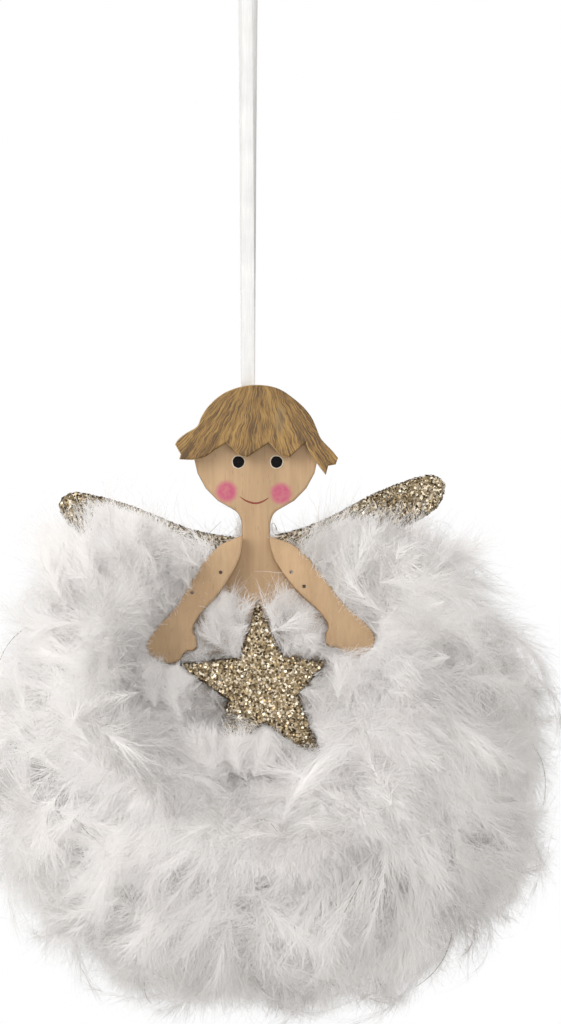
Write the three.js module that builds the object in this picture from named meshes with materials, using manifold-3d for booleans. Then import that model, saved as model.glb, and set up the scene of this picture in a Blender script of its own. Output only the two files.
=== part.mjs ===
// Fairy ornament: flat-cut plywood figure with glitter wings and a glitter star, wrapped in a
// feather boa that makes a round skirt, and hung on a loop of flat satin ribbon.
// Millimetres, +Z up, the front faces -Y. The origin is the hang point, under the ribbon's top bend.
import * as THREE from "three";
import { mergeVertices } from "three/addons/utils/BufferGeometryUtils.js";
import Module from "manifold-3d";

const wasm = await Module();
wasm.setup();

// Sheet stock and fits
const PLY = 3; // plywood of the body, hair and arms
const WING_THICKNESS = 2.4;
const STAR_THICKNESS = 2.4;
const SANDED_EDGE = 0.5; // rounding of the cut edges
const HAIR_EDGE = 0.4; // rounding of the hair's finer outline
const CLEARANCE = 0.3; // glue line between neighbours
const RIBBON_ROOM = 0.8; // gap between head and hair that holds the two ribbon tails

// Ribbon
const RIBBON_WIDTH = 3;
const RIBBON_THICKNESS = 0.25;
const RIBBON_DROP = 90.5; // hang point to the line where the ribbon bends at the head
const RIBBON_SPLIT = 45; // depth below the hang point where the loop hands over to the lower strands
const STRAND_GAP = 0.4; // centre to centre of the two strands where they enter the head
const TAIL_LENGTH = 10;
const HOOK_RADIUS = 2; // bend of the loop over its hook

// Figure, measured from the shoulder line
const FIGURE_X = 1.75; // the ribbon is glued left of the figure's midline
const HEAD_RADIUS = 13.4;
const HEAD_RISE = 18.3; // shoulder line to the head's centre
const NECK_WIDTH = 6;
const CHIN_FILLET = 4; // rise of the flare from neck to chin
const DRESS_WIDTH = 34;
const DRESS_SLOPE = 16; // drop of the sloping shoulders
const DRESS_LENGTH = 72;
const HEM_RADIUS = 4;

// Hair, measured from the head's centre
const HAIR_OVERHANG = 0.8; // crown past the head
const LOCK_SPAN = 34.8; // between the outer ends of the two side locks
const LOCK_DROP = 5; // head's centre down to the right lock's tip
const FRINGE_NOTCH = 1.9; // height of the notches between the teeth
const FRINGE_TOOTH = -1.3; // height of the teeth's tips
const HAIR_STEP = 0.9; // spacing of the outline's corners

// Arms, in a frame where the arm hangs straight down from its shoulder's centre
const SHOULDER_SPAN = 12.3; // between the two shoulder centres
const SHOULDER_DROP = 3; // shoulder line to the shoulder's centre
const ARM_LENGTH = 28.2;
const SHOULDER_TIP = 4.1; // shoulder's centre up to the arm's pointed end
const ARM_WIDTH = 6.8;
const WRIST_WIDTH = 5.3;
const WRIST_AT = 17;
const HAND_WIDTH = 8.4;
const THUMB_REACH = 5.5; // from the arm's centre line
const LEFT_LEAN = 32; // degrees from straight down
const RIGHT_LEAN = 37;
const PIN_DIAMETER = 0.64;
const PIN_CLEARANCE = 0.08;
const PIN_SINK = 0.4; // depth of a pin's head below the arm's face
const PIN_BITE = 1.8; // depth of a pin in the body

// Star, about its own centre
const STAR_X = 1.2;
const STAR_DROP = 31.9; // shoulder line to the star's centre
const STAR_TIPS = [18.4, 14.6, 22, 19, 18.6]; // hand-cut, clockwise from the top point
const STAR_NOTCH = 7.7;
const STAR_ROLL = 3; // degrees, right point up

// Wings, one plate with two mirrored blades, glued on slightly askew
const WING_SPAN = 41.5; // midline to a tip
const WING_RISE = 11.1; // shoulder line to the highest point of a blade
const WING_ROOT = 10.5; // depth of the plate's lower edge at the midline
const WING_ROLL = 2.8; // degrees, right tip up
const WING_PIVOT_DROP = 5;

// Boa: a cord wound round the dress, and the feathers that stand out from it
const CORD_DIAMETER = 1.6;
const CORD_TURNS = 5;
const CORD_TOP = 20; // below the shoulder line
const CORD_PITCH = 9.4;
const PLUME_WIDTH = 115;
const PLUME_DEPTH = 82;
const PLUME_HEIGHT = 102;
const PLUME_X = 1.95;
const PLUME_Y = -4; // keeps the figure's weight under the ribbon
const PLUME_DROP = 46.9; // shoulder line to the ball's centre
const PLUME_FULLNESS = 2.3; // 2 is an ellipsoid, more is squarer
const PLUME_GROOVE = 2; // dip between neighbouring turns of the boa
const TUFT_COUNT = 8.5; // tufts of feathers to a turn, so that neighbouring turns are staggered
const TUFT_SWELL = 1.8;
const NECK_HOLLOW_WIDTH = 68; // dimple in the ball's top, down to the shoulder line
const NECK_HOLLOW_DEPTH = 18;
const LAP_WIDTH = 64; // hollow in the ball's front, back to the dress, that shows the arms and star
const LAP_DEPTH = 41;
const LAP_HEIGHT = 82;
const LAP_DROP = 17.5; // shoulder line to the hollow's centre
const LAP_FULLNESS = 2.6;

const RAD = Math.PI / 180;
const figureZ = -(RIBBON_DROP + CLEARANCE * 2 + HEAD_RISE + HEAD_RADIUS + HAIR_OVERHANG);
const bodyFront = RIBBON_ROOM / 2;
const bodyBack = bodyFront + PLY;

const wood = () => new THREE.MeshStandardMaterial({ color: 0xd3b184, roughness: 0.7 });
const paintedWood = () => new THREE.MeshStandardMaterial({ color: 0x97764a, roughness: 0.6 });
const glitter = () => new THREE.MeshStandardMaterial({ color: 0xb59a68, roughness: 0.35, metalness: 0.6 });
const satin = () => new THREE.MeshStandardMaterial({ color: 0xf4f3f0, roughness: 0.45 });
const feather = () => new THREE.MeshStandardMaterial({ color: 0xf0eeeb, roughness: 0.95 });
const steel = () => new THREE.MeshStandardMaterial({ color: 0x4a4036, roughness: 0.5, metalness: 0.8 });

const ornament = new THREE.Group();
const figure = new THREE.Group();
figure.position.set(FIGURE_X, 0, figureZ);
ornament.add(figure);

function piece(name, geometry, material, parent = figure) {
  const mesh = new THREE.Mesh(geometry, material);
  mesh.name = name;
  parent.add(mesh);
  return mesh;
}

// Joining and cutting of closed meshes
function toSolid(geometry) {
  const bare = new THREE.BufferGeometry();
  bare.setAttribute("position", geometry.getAttribute("position"));
  bare.setIndex(geometry.index);
  const merged = mergeVertices(bare, 1e-4);
  return new wasm.Manifold(
    new wasm.Mesh({
      numProp: 3,
      vertProperties: merged.attributes.position.array,
      triVerts: new Uint32Array(merged.index.array),
    }),
  );
}

function toGeometry(solid) {
  const mesh = solid.getMesh();
  const geometry = new THREE.BufferGeometry();
  geometry.setAttribute("position", new THREE.BufferAttribute(mesh.vertProperties, 3));
  geometry.setIndex(new THREE.BufferAttribute(mesh.triVerts, 1));
  return geometry;
}

function cut(geometry, cutters) {
  return cutters.reduce((solid, cutter) => solid.subtract(toSolid(cutter)), toSolid(geometry));
}

// A sheet piece drawn in X and Z: its back lies at y = 0 and its front at y = -thickness.
function sheet(shape, thickness, edge = SANDED_EDGE) {
  const geometry = new THREE.ExtrudeGeometry(shape, {
    depth: thickness - 2 * edge,
    bevelThickness: edge,
    bevelSize: edge,
    bevelOffset: -edge,
    bevelSegments: 2,
    curveSegments: 10,
  });
  return geometry.translate(0, 0, edge).rotateX(Math.PI / 2);
}

// The same sheet grown by the clearance all round, to cut its seat in something soft.
function seatOf(shape, thickness) {
  const geometry = new THREE.ExtrudeGeometry(shape, {
    depth: thickness,
    bevelThickness: CLEARANCE,
    bevelSize: CLEARANCE,
    bevelSegments: 1,
    curveSegments: 10,
  });
  return geometry.rotateX(Math.PI / 2);
}

// A smooth closed outline through a few points, as evenly spaced corners
function smoothShape(points, corners) {
  const through = points.map(([x, z]) => new THREE.Vector3(x, z, 0));
  const curve = new THREE.CatmullRomCurve3(through, true, "catmullrom", 0.5);
  return new THREE.Shape(curve.getSpacedPoints(corners).slice(0, -1));
}

// Body: head, neck and dress in one sheet
function bodyShape() {
  const neck = NECK_WIDTH / 2;
  const hip = DRESS_WIDTH / 2;
  const chinAngle = Math.asin((neck + CHIN_FILLET / 2) / HEAD_RADIUS);
  const chinX = HEAD_RADIUS * Math.sin(chinAngle);
  const chinZ = HEAD_RISE - HEAD_RADIUS * Math.cos(chinAngle);
  const neckTop = chinZ - CHIN_FILLET;
  const shape = new THREE.Shape();
  shape.moveTo(-neck, 0);
  shape.lineTo(-hip, -DRESS_SLOPE);
  shape.lineTo(-hip, HEM_RADIUS - DRESS_LENGTH);
  shape.absarc(HEM_RADIUS - hip, HEM_RADIUS - DRESS_LENGTH, HEM_RADIUS, Math.PI, 1.5 * Math.PI);
  shape.absarc(hip - HEM_RADIUS, HEM_RADIUS - DRESS_LENGTH, HEM_RADIUS, 1.5 * Math.PI, 2 * Math.PI);
  shape.lineTo(hip, -DRESS_SLOPE);
  shape.lineTo(neck, 0);
  shape.lineTo(neck, neckTop);
  shape.quadraticCurveTo(neck, chinZ - CHIN_FILLET / 4, chinX, chinZ);
  shape.absarc(0, HEAD_RISE, HEAD_RADIUS, chinAngle - Math.PI / 2, 1.5 * Math.PI - chinAngle);
  shape.quadraticCurveTo(-neck, chinZ - CHIN_FILLET / 4, -neck, neckTop);
  shape.closePath();
  return shape;
}

// Hair: hand-cut runs that are each smooth, with a sharp corner where one run meets the next.
// From the right lock's end over the crown to the left lock, then along the fringe and back.
function hairShape() {
  const crown = HEAD_RADIUS + HAIR_OVERHANG;
  const end = LOCK_SPAN / 2;
  const runs = [
    [
      [end, -1.4],
      [end - 1.2, 0.1],
      [end - 3.7, 2.8],
      [crown * 0.9, 5],
      [crown * 0.83, 7.2],
      [crown * 0.71, 9.4],
      [crown * 0.53, 11.6],
      [crown * 0.36, 13.2],
      [crown * 0.18, 14],
      [-crown * 0.03, crown],
      [-crown * 0.24, 13.8],
      [-crown * 0.47, 12.6],
      [-crown * 0.63, 11],
      [-crown * 0.75, 9.2],
      [-crown * 0.84, 7.1],
      [-crown * 0.89, 5.4],
      [2.2 - end, 3.8],
      [0.6 - end, 2.5],
      [-end, 1.5],
    ],
    [
      [-end, 1.5],
      [1.2 - end, -0.6],
    ],
    [
      [1.2 - end, -0.6],
      [0.9 - end, -1.7],
    ],
    [
      [0.9 - end, -1.7],
      [-HEAD_RADIUS, -1.8],
      [-11.1, -1.2],
      [-8.9, 0.3],
      [-6.5, FRINGE_NOTCH],
    ],
    [
      [-6.5, FRINGE_NOTCH],
      [-4.8, 0.3],
      [-3.6, FRINGE_TOOTH + 0.4],
      [-2.1, FRINGE_TOOTH],
    ],
    [
      [-2.1, FRINGE_TOOTH],
      [2.7, FRINGE_NOTCH],
    ],
    [
      [2.7, FRINGE_NOTCH],
      [4.1, 0.3],
      [5.3, FRINGE_TOOTH + 0.4],
      [7, FRINGE_TOOTH],
    ],
    [
      [7, FRINGE_TOOTH],
      [10.5, FRINGE_NOTCH],
    ],
    [
      [10.5, FRINGE_NOTCH],
      [11.2, 0.1],
      [12.5, -1.9],
      [HEAD_RADIUS + 0.3, 1.4 - LOCK_DROP],
      [HEAD_RADIUS + 1.4, -LOCK_DROP],
    ],
    [
      [HEAD_RADIUS + 1.4, -LOCK_DROP],
      [HEAD_RADIUS + 1.9, 1.9 - LOCK_DROP],
    ],
    [
      [HEAD_RADIUS + 1.9, 1.9 - LOCK_DROP],
      [end - 0.5, 2.2 - LOCK_DROP],
    ],
    [
      [end - 0.5, 2.2 - LOCK_DROP],
      [end, -1.4],
    ],
  ];
  const corners = runs.flatMap((run) => {
    const curve = new THREE.CatmullRomCurve3(run.map(([x, z]) => new THREE.Vector3(x, z, 0)));
    const count = Math.max(1, Math.round(curve.getLength() / HAIR_STEP));
    return curve.getSpacedPoints(count).slice(0, -1);
  });
  return new THREE.Shape(corners.map((p) => new THREE.Vector2(p.x, p.y)));
}

// An arm hanging down from its shoulder, thumb towards the body: side is -1 for the left arm
function armShape(side) {
  const arm = ARM_WIDTH / 2;
  const wrist = WRIST_WIDTH / 2;
  const hand = HAND_WIDTH / 2;
  const palm = (WRIST_AT + ARM_LENGTH) / 2;
  const outline = [
    [-1.1, SHOULDER_TIP],
    [0.2, SHOULDER_TIP - 1.8],
    [arm * 0.58, -0.7],
    [arm * 0.9, -WRIST_AT * 0.43],
    [wrist * 1.05, -WRIST_AT * 0.93],
    [hand * 0.88, -palm + 1.6],
    [hand * 0.97, -palm - 2.1],
    [hand * 0.86, -ARM_LENGTH + 1.1],
    [hand * 0.38, -ARM_LENGTH - 0.1],
    [-hand * 0.2, -ARM_LENGTH],
    [-hand * 0.64, -ARM_LENGTH + 0.8],
    [-hand * 0.93, -ARM_LENGTH + 2.6],
    [-hand * 0.93, -palm - 1],
    [0.4 - THUMB_REACH, -palm - 0.2],
    [-THUMB_REACH, -palm + 1.2],
    [1.2 - THUMB_REACH, -palm + 2.8],
    [-wrist, -WRIST_AT - 1.6],
    [-wrist * 0.94, -WRIST_AT * 0.86],
    [-arm * 1.04, -WRIST_AT * 0.5],
    [-arm, -1.2],
    [-1.9, SHOULDER_TIP - 1],
  ].map(([x, z]) => [side * x, z]);
  return smoothShape(outline, 64);
}

function starShape() {
  const points = STAR_TIPS.flatMap((tip, i) => {
    const angle = Math.PI / 2 - (i * 2 * Math.PI) / STAR_TIPS.length;
    const notchAngle = angle - Math.PI / STAR_TIPS.length;
    return [
      new THREE.Vector2(tip * Math.cos(angle), tip * Math.sin(angle)),
      new THREE.Vector2(STAR_NOTCH * Math.cos(notchAngle), STAR_NOTCH * Math.sin(notchAngle)),
    ];
  });
  return new THREE.Shape(points);
}

// Both blades: the right one is drawn from the midline to the tip and back, the left one mirrors it
function wingShape() {
  const blade = [
    [8.4, 0.7],
    [15.4, 2.8],
    [27, 8.1],
    [WING_SPAN - 4.5, WING_RISE],
    [WING_SPAN - 1.2, WING_RISE - 0.6],
    [WING_SPAN, WING_RISE - 2.6],
    [WING_SPAN - 2.6, WING_RISE - 7.3],
    [29.6, -0.9],
    [15, -6.5],
  ];
  const mirrored = blade.map(([x, z]) => [-x, z]).reverse();
  return smoothShape([[0, -0.5], ...blade, [0, -WING_ROOT], ...mirrored], 120);
}

// A flat band with softened edges, bent on to hand-chosen points; its width stays across X.
function band(points, steps) {
  const half = RIBBON_WIDTH / 2;
  const thick = RIBBON_THICKNESS / 2;
  const soft = half - RIBBON_THICKNESS;
  const section = new THREE.Shape(
    [
      [half, -thick / 2],
      [half, thick / 2],
      [soft, thick],
      [-soft, thick],
      [-half, thick / 2],
      [-half, -thick / 2],
      [-soft, -thick],
      [soft, -thick],
    ].map(([x, y]) => new THREE.Vector2(x, y)),
  );
  const route = new THREE.CatmullRomCurve3(points.map(([x, y, z]) => new THREE.Vector3(x, y, z)));
  const geometry = new THREE.ExtrudeGeometry(section, { depth: 1, steps, bevelEnabled: false });
  const position = geometry.getAttribute("position");
  for (let i = 0; i < position.count; i++) {
    const along = position.getZ(i);
    const tangent = route.getTangentAt(along);
    const across = new THREE.Vector3(1, 0, 0).addScaledVector(tangent, -tangent.x).normalize();
    const facing = tangent.clone().cross(across);
    const place = route.getPointAt(along);
    place.addScaledVector(across, position.getX(i)).addScaledVector(facing, position.getY(i));
    position.setXYZ(i, place.x, place.y, place.z);
  }
  return geometry;
}

// Ribbon: the loop over the hook, the two lower strands and the two tails glued under the hair
const strand = STRAND_GAP / 2;
const bend = HOOK_RADIUS + RIBBON_THICKNESS / 2;
const strandEnd = CLEARANCE - RIBBON_DROP;
const handOver = CLEARANCE / 2;
const LOOP_POINTS = [
  [-0.3, -1.15, handOver - RIBBON_SPLIT],
  [-0.45, -1.6, -25],
  [-0.6, -bend, -10],
  [-0.5, -bend, -HOOK_RADIUS],
  [-0.35, -bend * 0.71, bend * 0.71 - HOOK_RADIUS],
  [0, 0, bend - HOOK_RADIUS],
  [0.35, bend * 0.71, bend * 0.71 - HOOK_RADIUS],
  [0.5, bend, -HOOK_RADIUS],
  [0.6, bend, -10],
  [0.45, 1.6, -25],
  [0.3, 1.15, handOver - RIBBON_SPLIT],
];
const FRONT_POINTS = [
  [-0.3, -1.15, -handOver - RIBBON_SPLIT],
  [-0.2, -0.85, -60],
  [-0.05, -strand - 0.2, -80],
  [0, -strand, strandEnd],
];
const BACK_POINTS = FRONT_POINTS.map(([x, y, z]) => [-x, -y, z]);
const tailPoints = (y) => [
  [0, y, -RIBBON_DROP - CLEARANCE],
  [0, y, -RIBBON_DROP - CLEARANCE - TAIL_LENGTH / 2],
  [0, y, -RIBBON_DROP - CLEARANCE - TAIL_LENGTH],
];
piece("ribbon_loop", band(LOOP_POINTS, 40), satin(), ornament);
piece("ribbon_front_strand", band(FRONT_POINTS, 8), satin(), ornament);
piece("ribbon_back_strand", band(BACK_POINTS, 8), satin(), ornament);
piece("ribbon_front_tail", band(tailPoints(-strand), 2), satin(), ornament);
piece("ribbon_back_tail", band(tailPoints(strand), 2), satin(), ornament);

// Hair in front of the head, with the ribbon tails between them
const hair = piece("hair_plate", sheet(hairShape(), PLY, HAIR_EDGE), paintedWood());
hair.position.set(0, -RIBBON_ROOM / 2, HEAD_RISE);

// Wings behind the dress
const wings = piece("wing_plate", sheet(wingShape(), WING_THICKNESS), glitter());
wings.geometry.translate(0, 0, WING_PIVOT_DROP);
wings.rotation.y = -WING_ROLL * RAD;
wings.position.set(0, bodyBack + CLEARANCE + WING_THICKNESS, -WING_PIVOT_DROP);

// Star in front of the boa's cord, its side points behind the hands
const starBack = bodyFront - CLEARANCE - CORD_DIAMETER - CLEARANCE;
const star = piece("star", sheet(starShape(), STAR_THICKNESS), glitter());
star.rotation.y = -STAR_ROLL * RAD;
star.position.set(STAR_X, starBack, -STAR_DROP);

// Arms tilt forward over the star's points, and each is held by two pins
const heldAt = STAR_DROP - STAR_TIPS[1] * Math.sin(Math.PI / 10 + STAR_ROLL * RAD) - 1;
const armTilt = Math.asin((CORD_DIAMETER + STAR_THICKNESS + 2 * CLEARANCE) / heldAt);
const pins = [];

function arm(name, side, lean, pinSpots) {
  const shoulder = new THREE.Group();
  shoulder.position.set((side * SHOULDER_SPAN) / 2, bodyFront - CLEARANCE, 0);
  shoulder.rotation.x = -armTilt;
  figure.add(shoulder);
  const turned = new THREE.Group();
  turned.position.z = -SHOULDER_DROP;
  turned.rotation.y = -side * lean * RAD;
  shoulder.add(turned);
  const holes = [];
  pinSpots.forEach(([across, down], i) => {
    const height = SHOULDER_DROP + down * Math.cos(lean * RAD) + across * Math.sin(lean * RAD);
    const gap = (CLEARANCE + height * Math.sin(armTilt)) / Math.cos(armTilt);
    const length = PLY - PIN_SINK + gap + PIN_BITE;
    const radius = PIN_DIAMETER / 2;
    const shank = new THREE.CylinderGeometry(radius, radius, length, 10);
    const pin = piece(`${name}_pin_${i + 1}`, shank, steel(), turned);
    pin.position.set(side * across, PIN_SINK - PLY + length / 2, -down);
    pins.push(pin);
    const bore = radius + PIN_CLEARANCE;
    const hole = new THREE.CylinderGeometry(bore, bore, PLY * 2, 10);
    holes.push(hole.translate(side * across, -PLY / 2, -down));
  });
  const shape = armShape(side);
  const mesh = piece(name, toGeometry(cut(sheet(shape, PLY), holes)), wood(), turned);
  mesh.userData.shape = shape;
  return mesh;
}

const leftArm = arm("left_arm", -1, LEFT_LEAN, [
  [-1.4, 5.2],
  [1.5, 12.1],
]);
const rightArm = arm("right_arm", 1, RIGHT_LEAN, [
  [-2.1, 4.8],
  [-1.8, 8.9],
]);
ornament.updateMatrixWorld(true);

// Body, drilled for the arm pins
const body = piece("body_plate", new THREE.BufferGeometry(), wood());
body.position.y = bodyBack;
body.updateMatrixWorld(true);
const toBody = body.matrixWorld.clone().invert();
const pinBores = pins.map((pin) => {
  const bore = PIN_DIAMETER / 2 + PIN_CLEARANCE;
  const length = pin.geometry.parameters.height + 2 * PIN_CLEARANCE;
  return new THREE.CylinderGeometry(bore, bore, length, 10)
    .applyMatrix4(pin.matrixWorld)
    .applyMatrix4(toBody);
});
body.geometry = toGeometry(cut(sheet(bodyShape(), PLY), pinBores));

// Boa cord: an oval spiral round the dress, straight over its faces and round at its sides
class Winding extends THREE.Curve {
  getPoint(t, target = new THREE.Vector3()) {
    const radius = PLY / 2 + CLEARANCE + CORD_DIAMETER / 2;
    const run = DRESS_WIDTH;
    const round = Math.PI * radius;
    const lap = 2 * (run + round);
    const along = t * CORD_TURNS * lap + run / 2;
    const place = along % lap;
    const z = -CORD_TOP - CORD_PITCH * CORD_TURNS * t;
    const middle = bodyFront + PLY / 2;
    if (place < run) return target.set(place - run / 2, middle + radius, z);
    if (place < run + round) {
      const angle = (place - run) / radius;
      return target.set(run / 2 + radius * Math.sin(angle), middle + radius * Math.cos(angle), z);
    }
    if (place < 2 * run + round) return target.set(run / 2 - (place - run - round), middle - radius, z);
    const angle = (place - 2 * run - round) / radius;
    return target.set(-run / 2 - radius * Math.sin(angle), middle - radius * Math.cos(angle), z);
  }
}

function leastGap(curve, turns, diameter) {
  const points = curve.getSpacedPoints(turns * 48);
  let least = Infinity;
  points.forEach((p, i) => {
    for (let j = i + 24; j < points.length; j++) least = Math.min(least, p.distanceTo(points[j]));
  });
  return least - diameter;
}

const winding = new Winding();
winding.arcLengthDivisions = CORD_TURNS * 200;
const cordSection = new THREE.Shape().absarc(0, 0, CORD_DIAMETER / 2, 0, 2 * Math.PI);
const cord = new THREE.ExtrudeGeometry(cordSection, {
  steps: CORD_TURNS * 24,
  extrudePath: winding,
  curveSegments: 3,
  bevelEnabled: false,
});
piece("boa_cord", cord, feather());
console.log(`boa cord, least gap to itself: ${leastGap(winding, CORD_TURNS, CORD_DIAMETER).toFixed(2)} mm`);

// Boa plumage: a full ball with the boa's turns and tufts as shallow swells, hollowed where the neck
// stands, where the lap holds the star, and round the dress, the wings, the star and the arms.
function swollen(halfX, halfY, halfZ, fullness, groove = 0, swell = 0) {
  const geometry = new THREE.SphereGeometry(1, 60, 34).rotateX(Math.PI / 2);
  const position = geometry.getAttribute("position");
  const bandPitch = (2 * halfZ) / CORD_TURNS;
  const p = new THREE.Vector3();
  for (let i = 0; i < position.count; i++) {
    p.fromBufferAttribute(position, i);
    const sum = p.toArray().reduce((total, v) => total + Math.abs(v) ** fullness, 0);
    p.multiplyScalar(sum ** (-1 / fullness));
    const azimuth = Math.atan2(p.y, p.x);
    const wound = (2 * Math.PI * p.z * halfZ) / bandPitch + azimuth;
    const crest = (1 + Math.cos(wound)) / 2;
    const along = azimuth - 2 * Math.PI * Math.round(wound / (2 * Math.PI));
    const furrow = groove * (1 - crest);
    const tuft = swell * crest * Math.cos(TUFT_COUNT * along);
    const dip = (furrow - tuft) * Math.hypot(p.x, p.y);
    position.setXYZ(i, p.x * (halfX - dip), p.y * (halfY - dip), p.z * (halfZ - dip));
  }
  return geometry;
}

function well() {
  const radius = PLY / 2 + CLEARANCE + CORD_DIAMETER + CLEARANCE;
  const shape = new THREE.Shape();
  shape.absarc(DRESS_WIDTH / 2, 0, radius, -Math.PI / 2, Math.PI / 2);
  shape.absarc(-DRESS_WIDTH / 2, 0, radius, Math.PI / 2, 1.5 * Math.PI);
  const depth = DRESS_LENGTH + CLEARANCE + HEAD_RISE;
  const geometry = new THREE.ExtrudeGeometry(shape, { depth, bevelEnabled: false, curveSegments: 8 });
  return geometry.translate(0, bodyFront + PLY / 2, -DRESS_LENGTH - CLEARANCE);
}

const toFigure = figure.matrixWorld.clone().invert();
const pinSeats = pins.map((pin) => {
  const radius = PIN_DIAMETER / 2 + CLEARANCE;
  const length = pin.geometry.parameters.height;
  return new THREE.CylinderGeometry(radius, radius, length, 10).applyMatrix4(pin.matrixWorld);
});
const seats = [
  ...pinSeats,
  seatOf(wingShape(), WING_THICKNESS).translate(0, 0, WING_PIVOT_DROP).applyMatrix4(wings.matrixWorld),
  seatOf(starShape(), STAR_THICKNESS).applyMatrix4(star.matrixWorld),
  seatOf(leftArm.userData.shape, PLY).applyMatrix4(leftArm.matrixWorld),
  seatOf(rightArm.userData.shape, PLY).applyMatrix4(rightArm.matrixWorld),
].map((geometry) => geometry.applyMatrix4(toFigure));
const ball = swollen(
  PLUME_WIDTH / 2,
  PLUME_DEPTH / 2,
  PLUME_HEIGHT / 2,
  PLUME_FULLNESS,
  PLUME_GROOVE,
  TUFT_SWELL,
);
ball.translate(PLUME_X, PLUME_Y, -PLUME_DROP);
const neckHollow = swollen(NECK_HOLLOW_WIDTH / 2, PLUME_DEPTH, NECK_HOLLOW_DEPTH, 2);
neckHollow.translate(0, PLUME_Y, NECK_HOLLOW_DEPTH - CLEARANCE);
const lapHollow = swollen(LAP_WIDTH / 2, LAP_DEPTH, LAP_HEIGHT / 2, LAP_FULLNESS);
lapHollow.translate(0, bodyFront - LAP_DEPTH, -LAP_DROP);
const plumage = cut(ball, [neckHollow, lapHollow, well(), ...seats]).decompose();
plumage.sort((a, b) => b.volume() - a.volume());
piece("boa_plumage", toGeometry(plumage[0]), feather());

export default ornament;
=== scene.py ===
"""Dresses the hanging fairy ornament: satin ribbon, plywood figure, glitter and a marabou skirt."""

import math

import bpy
import numpy as np
from bpy.props import FloatProperty, FloatVectorProperty, IntProperty, PointerProperty
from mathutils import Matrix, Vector
from mathutils.bvhtree import BVHTree


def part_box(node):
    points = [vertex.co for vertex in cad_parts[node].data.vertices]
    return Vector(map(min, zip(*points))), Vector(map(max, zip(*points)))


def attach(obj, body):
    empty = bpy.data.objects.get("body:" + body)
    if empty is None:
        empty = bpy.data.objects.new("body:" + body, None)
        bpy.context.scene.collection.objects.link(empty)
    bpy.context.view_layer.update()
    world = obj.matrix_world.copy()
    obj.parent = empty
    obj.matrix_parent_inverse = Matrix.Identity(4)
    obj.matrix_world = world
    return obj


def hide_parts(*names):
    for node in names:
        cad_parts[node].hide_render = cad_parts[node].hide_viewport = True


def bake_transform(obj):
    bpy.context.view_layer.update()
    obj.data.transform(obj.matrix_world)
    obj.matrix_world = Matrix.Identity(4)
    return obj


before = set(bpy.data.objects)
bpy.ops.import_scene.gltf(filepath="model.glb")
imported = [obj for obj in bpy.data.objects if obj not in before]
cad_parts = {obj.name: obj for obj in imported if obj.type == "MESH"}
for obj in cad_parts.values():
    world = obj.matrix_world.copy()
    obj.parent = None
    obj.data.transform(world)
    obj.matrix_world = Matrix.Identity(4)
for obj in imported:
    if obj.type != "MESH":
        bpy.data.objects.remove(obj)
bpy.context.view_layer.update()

bl_info = {
    "name": "Fairy ornament dressing",
    "version": (1, 0, 0),
    "blender": (4, 5, 0),
    "location": "3D View > Sidebar > Ornament",
    "description": "Ribbon, plywood, glitter and feathers for the hanging fairy",
    "category": "Object",
}

MM = 0.001
FULL_TURN = 2.0 * math.pi
PHASE = 6.28
WHITE = (1.0, 1.0, 1.0, 1.0)
ARM_PINS = tuple(f"{side}_arm_pin_{number}" for side in ("left", "right") for number in (1, 2))

# The ribbon's route in millimetres, from the head up the front strand and over the hook; the back
# strand mirrors the front one
RIBBON_RISE = [
    (0.0, -0.2, -90.45),
    (-0.05, -0.4, -80.0),
    (-0.12, -0.62, -70.0),
    (-0.2, -0.85, -60.0),
    (-0.3, -1.15, -45.0),
    (-0.37, -1.36, -35.0),
    (-0.45, -1.6, -25.0),
    (-0.53, -1.9, -17.0),
    (-0.6, -2.125, -10.0),
    (-0.56, -2.125, -5.5),
    (-0.5, -2.125, -2.0),
    (-0.35, -1.51, -0.49),
]
RIBBON_TOP = (0.0, 0.0, 0.125)
RIBBON_FALL = [(0.0 - x, 0.0 - y, z) for x, y, z in reversed(RIBBON_RISE)]
RIBBON_ROUTE = [*RIBBON_RISE, RIBBON_TOP, *RIBBON_FALL]


def length_of(name, default, description):
    """A length in metres."""
    return FloatProperty(name=name, default=default, description=description, unit="LENGTH", precision=5)


def tint(name, default, description):
    """A linear colour with its swatch."""
    return FloatVectorProperty(
        name=name, default=default, description=description, subtype="COLOR", size=3, min=0.0, max=1.0
    )


def share(name, default, description):
    """A number from nought to one."""
    return FloatProperty(
        name=name, default=default, description=description, subtype="FACTOR", min=0.0, max=1.0
    )


def power(name, default, description):
    """A lamp's power."""
    return FloatProperty(name=name, default=default, description=description, unit="POWER")


def angle_of(name, degrees, description):
    """An angle, written in degrees."""
    return FloatProperty(
        name=name, default=math.radians(degrees), description=description, subtype="ANGLE"
    )


def face_spot(name, default):
    """A place on the face."""
    return FloatVectorProperty(
        name=name,
        description="Across and up from the hang point",
        default=default,
        size=2,
        unit="LENGTH",
        precision=5,
    )


class StageSettings(bpy.types.PropertyGroup):
    """Camera, lamps and the white surround."""

    aim: FloatVectorProperty(
        name="Aim",
        description="Point at the middle of the picture",
        default=(0.00696, 0.0, -0.1183),
        subtype="XYZ",
        unit="LENGTH",
        precision=5,
    )
    distance: length_of("Distance", 0.9, "Camera to the aim point")
    field: length_of("Field", 0.2194, "Height that the picture takes in at the aim point")
    turn: angle_of("Turn", -2.0, "Camera's turn round the ornament")
    rise: angle_of("Rise", 1.0, "Camera's height above level")
    floor_drop: length_of("Floor", -0.34, "Height of the floor, counted from the hang point")
    key_power: power("Key", 5.5, "Soft lamp, upper left")
    fill_power: power("Fill", 1.9, "Soft lamp in front")
    back_power: power("Back", 3.0, "Soft lamp behind")
    surround: share("Surround", 0.42, "Light from the white surround")


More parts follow.
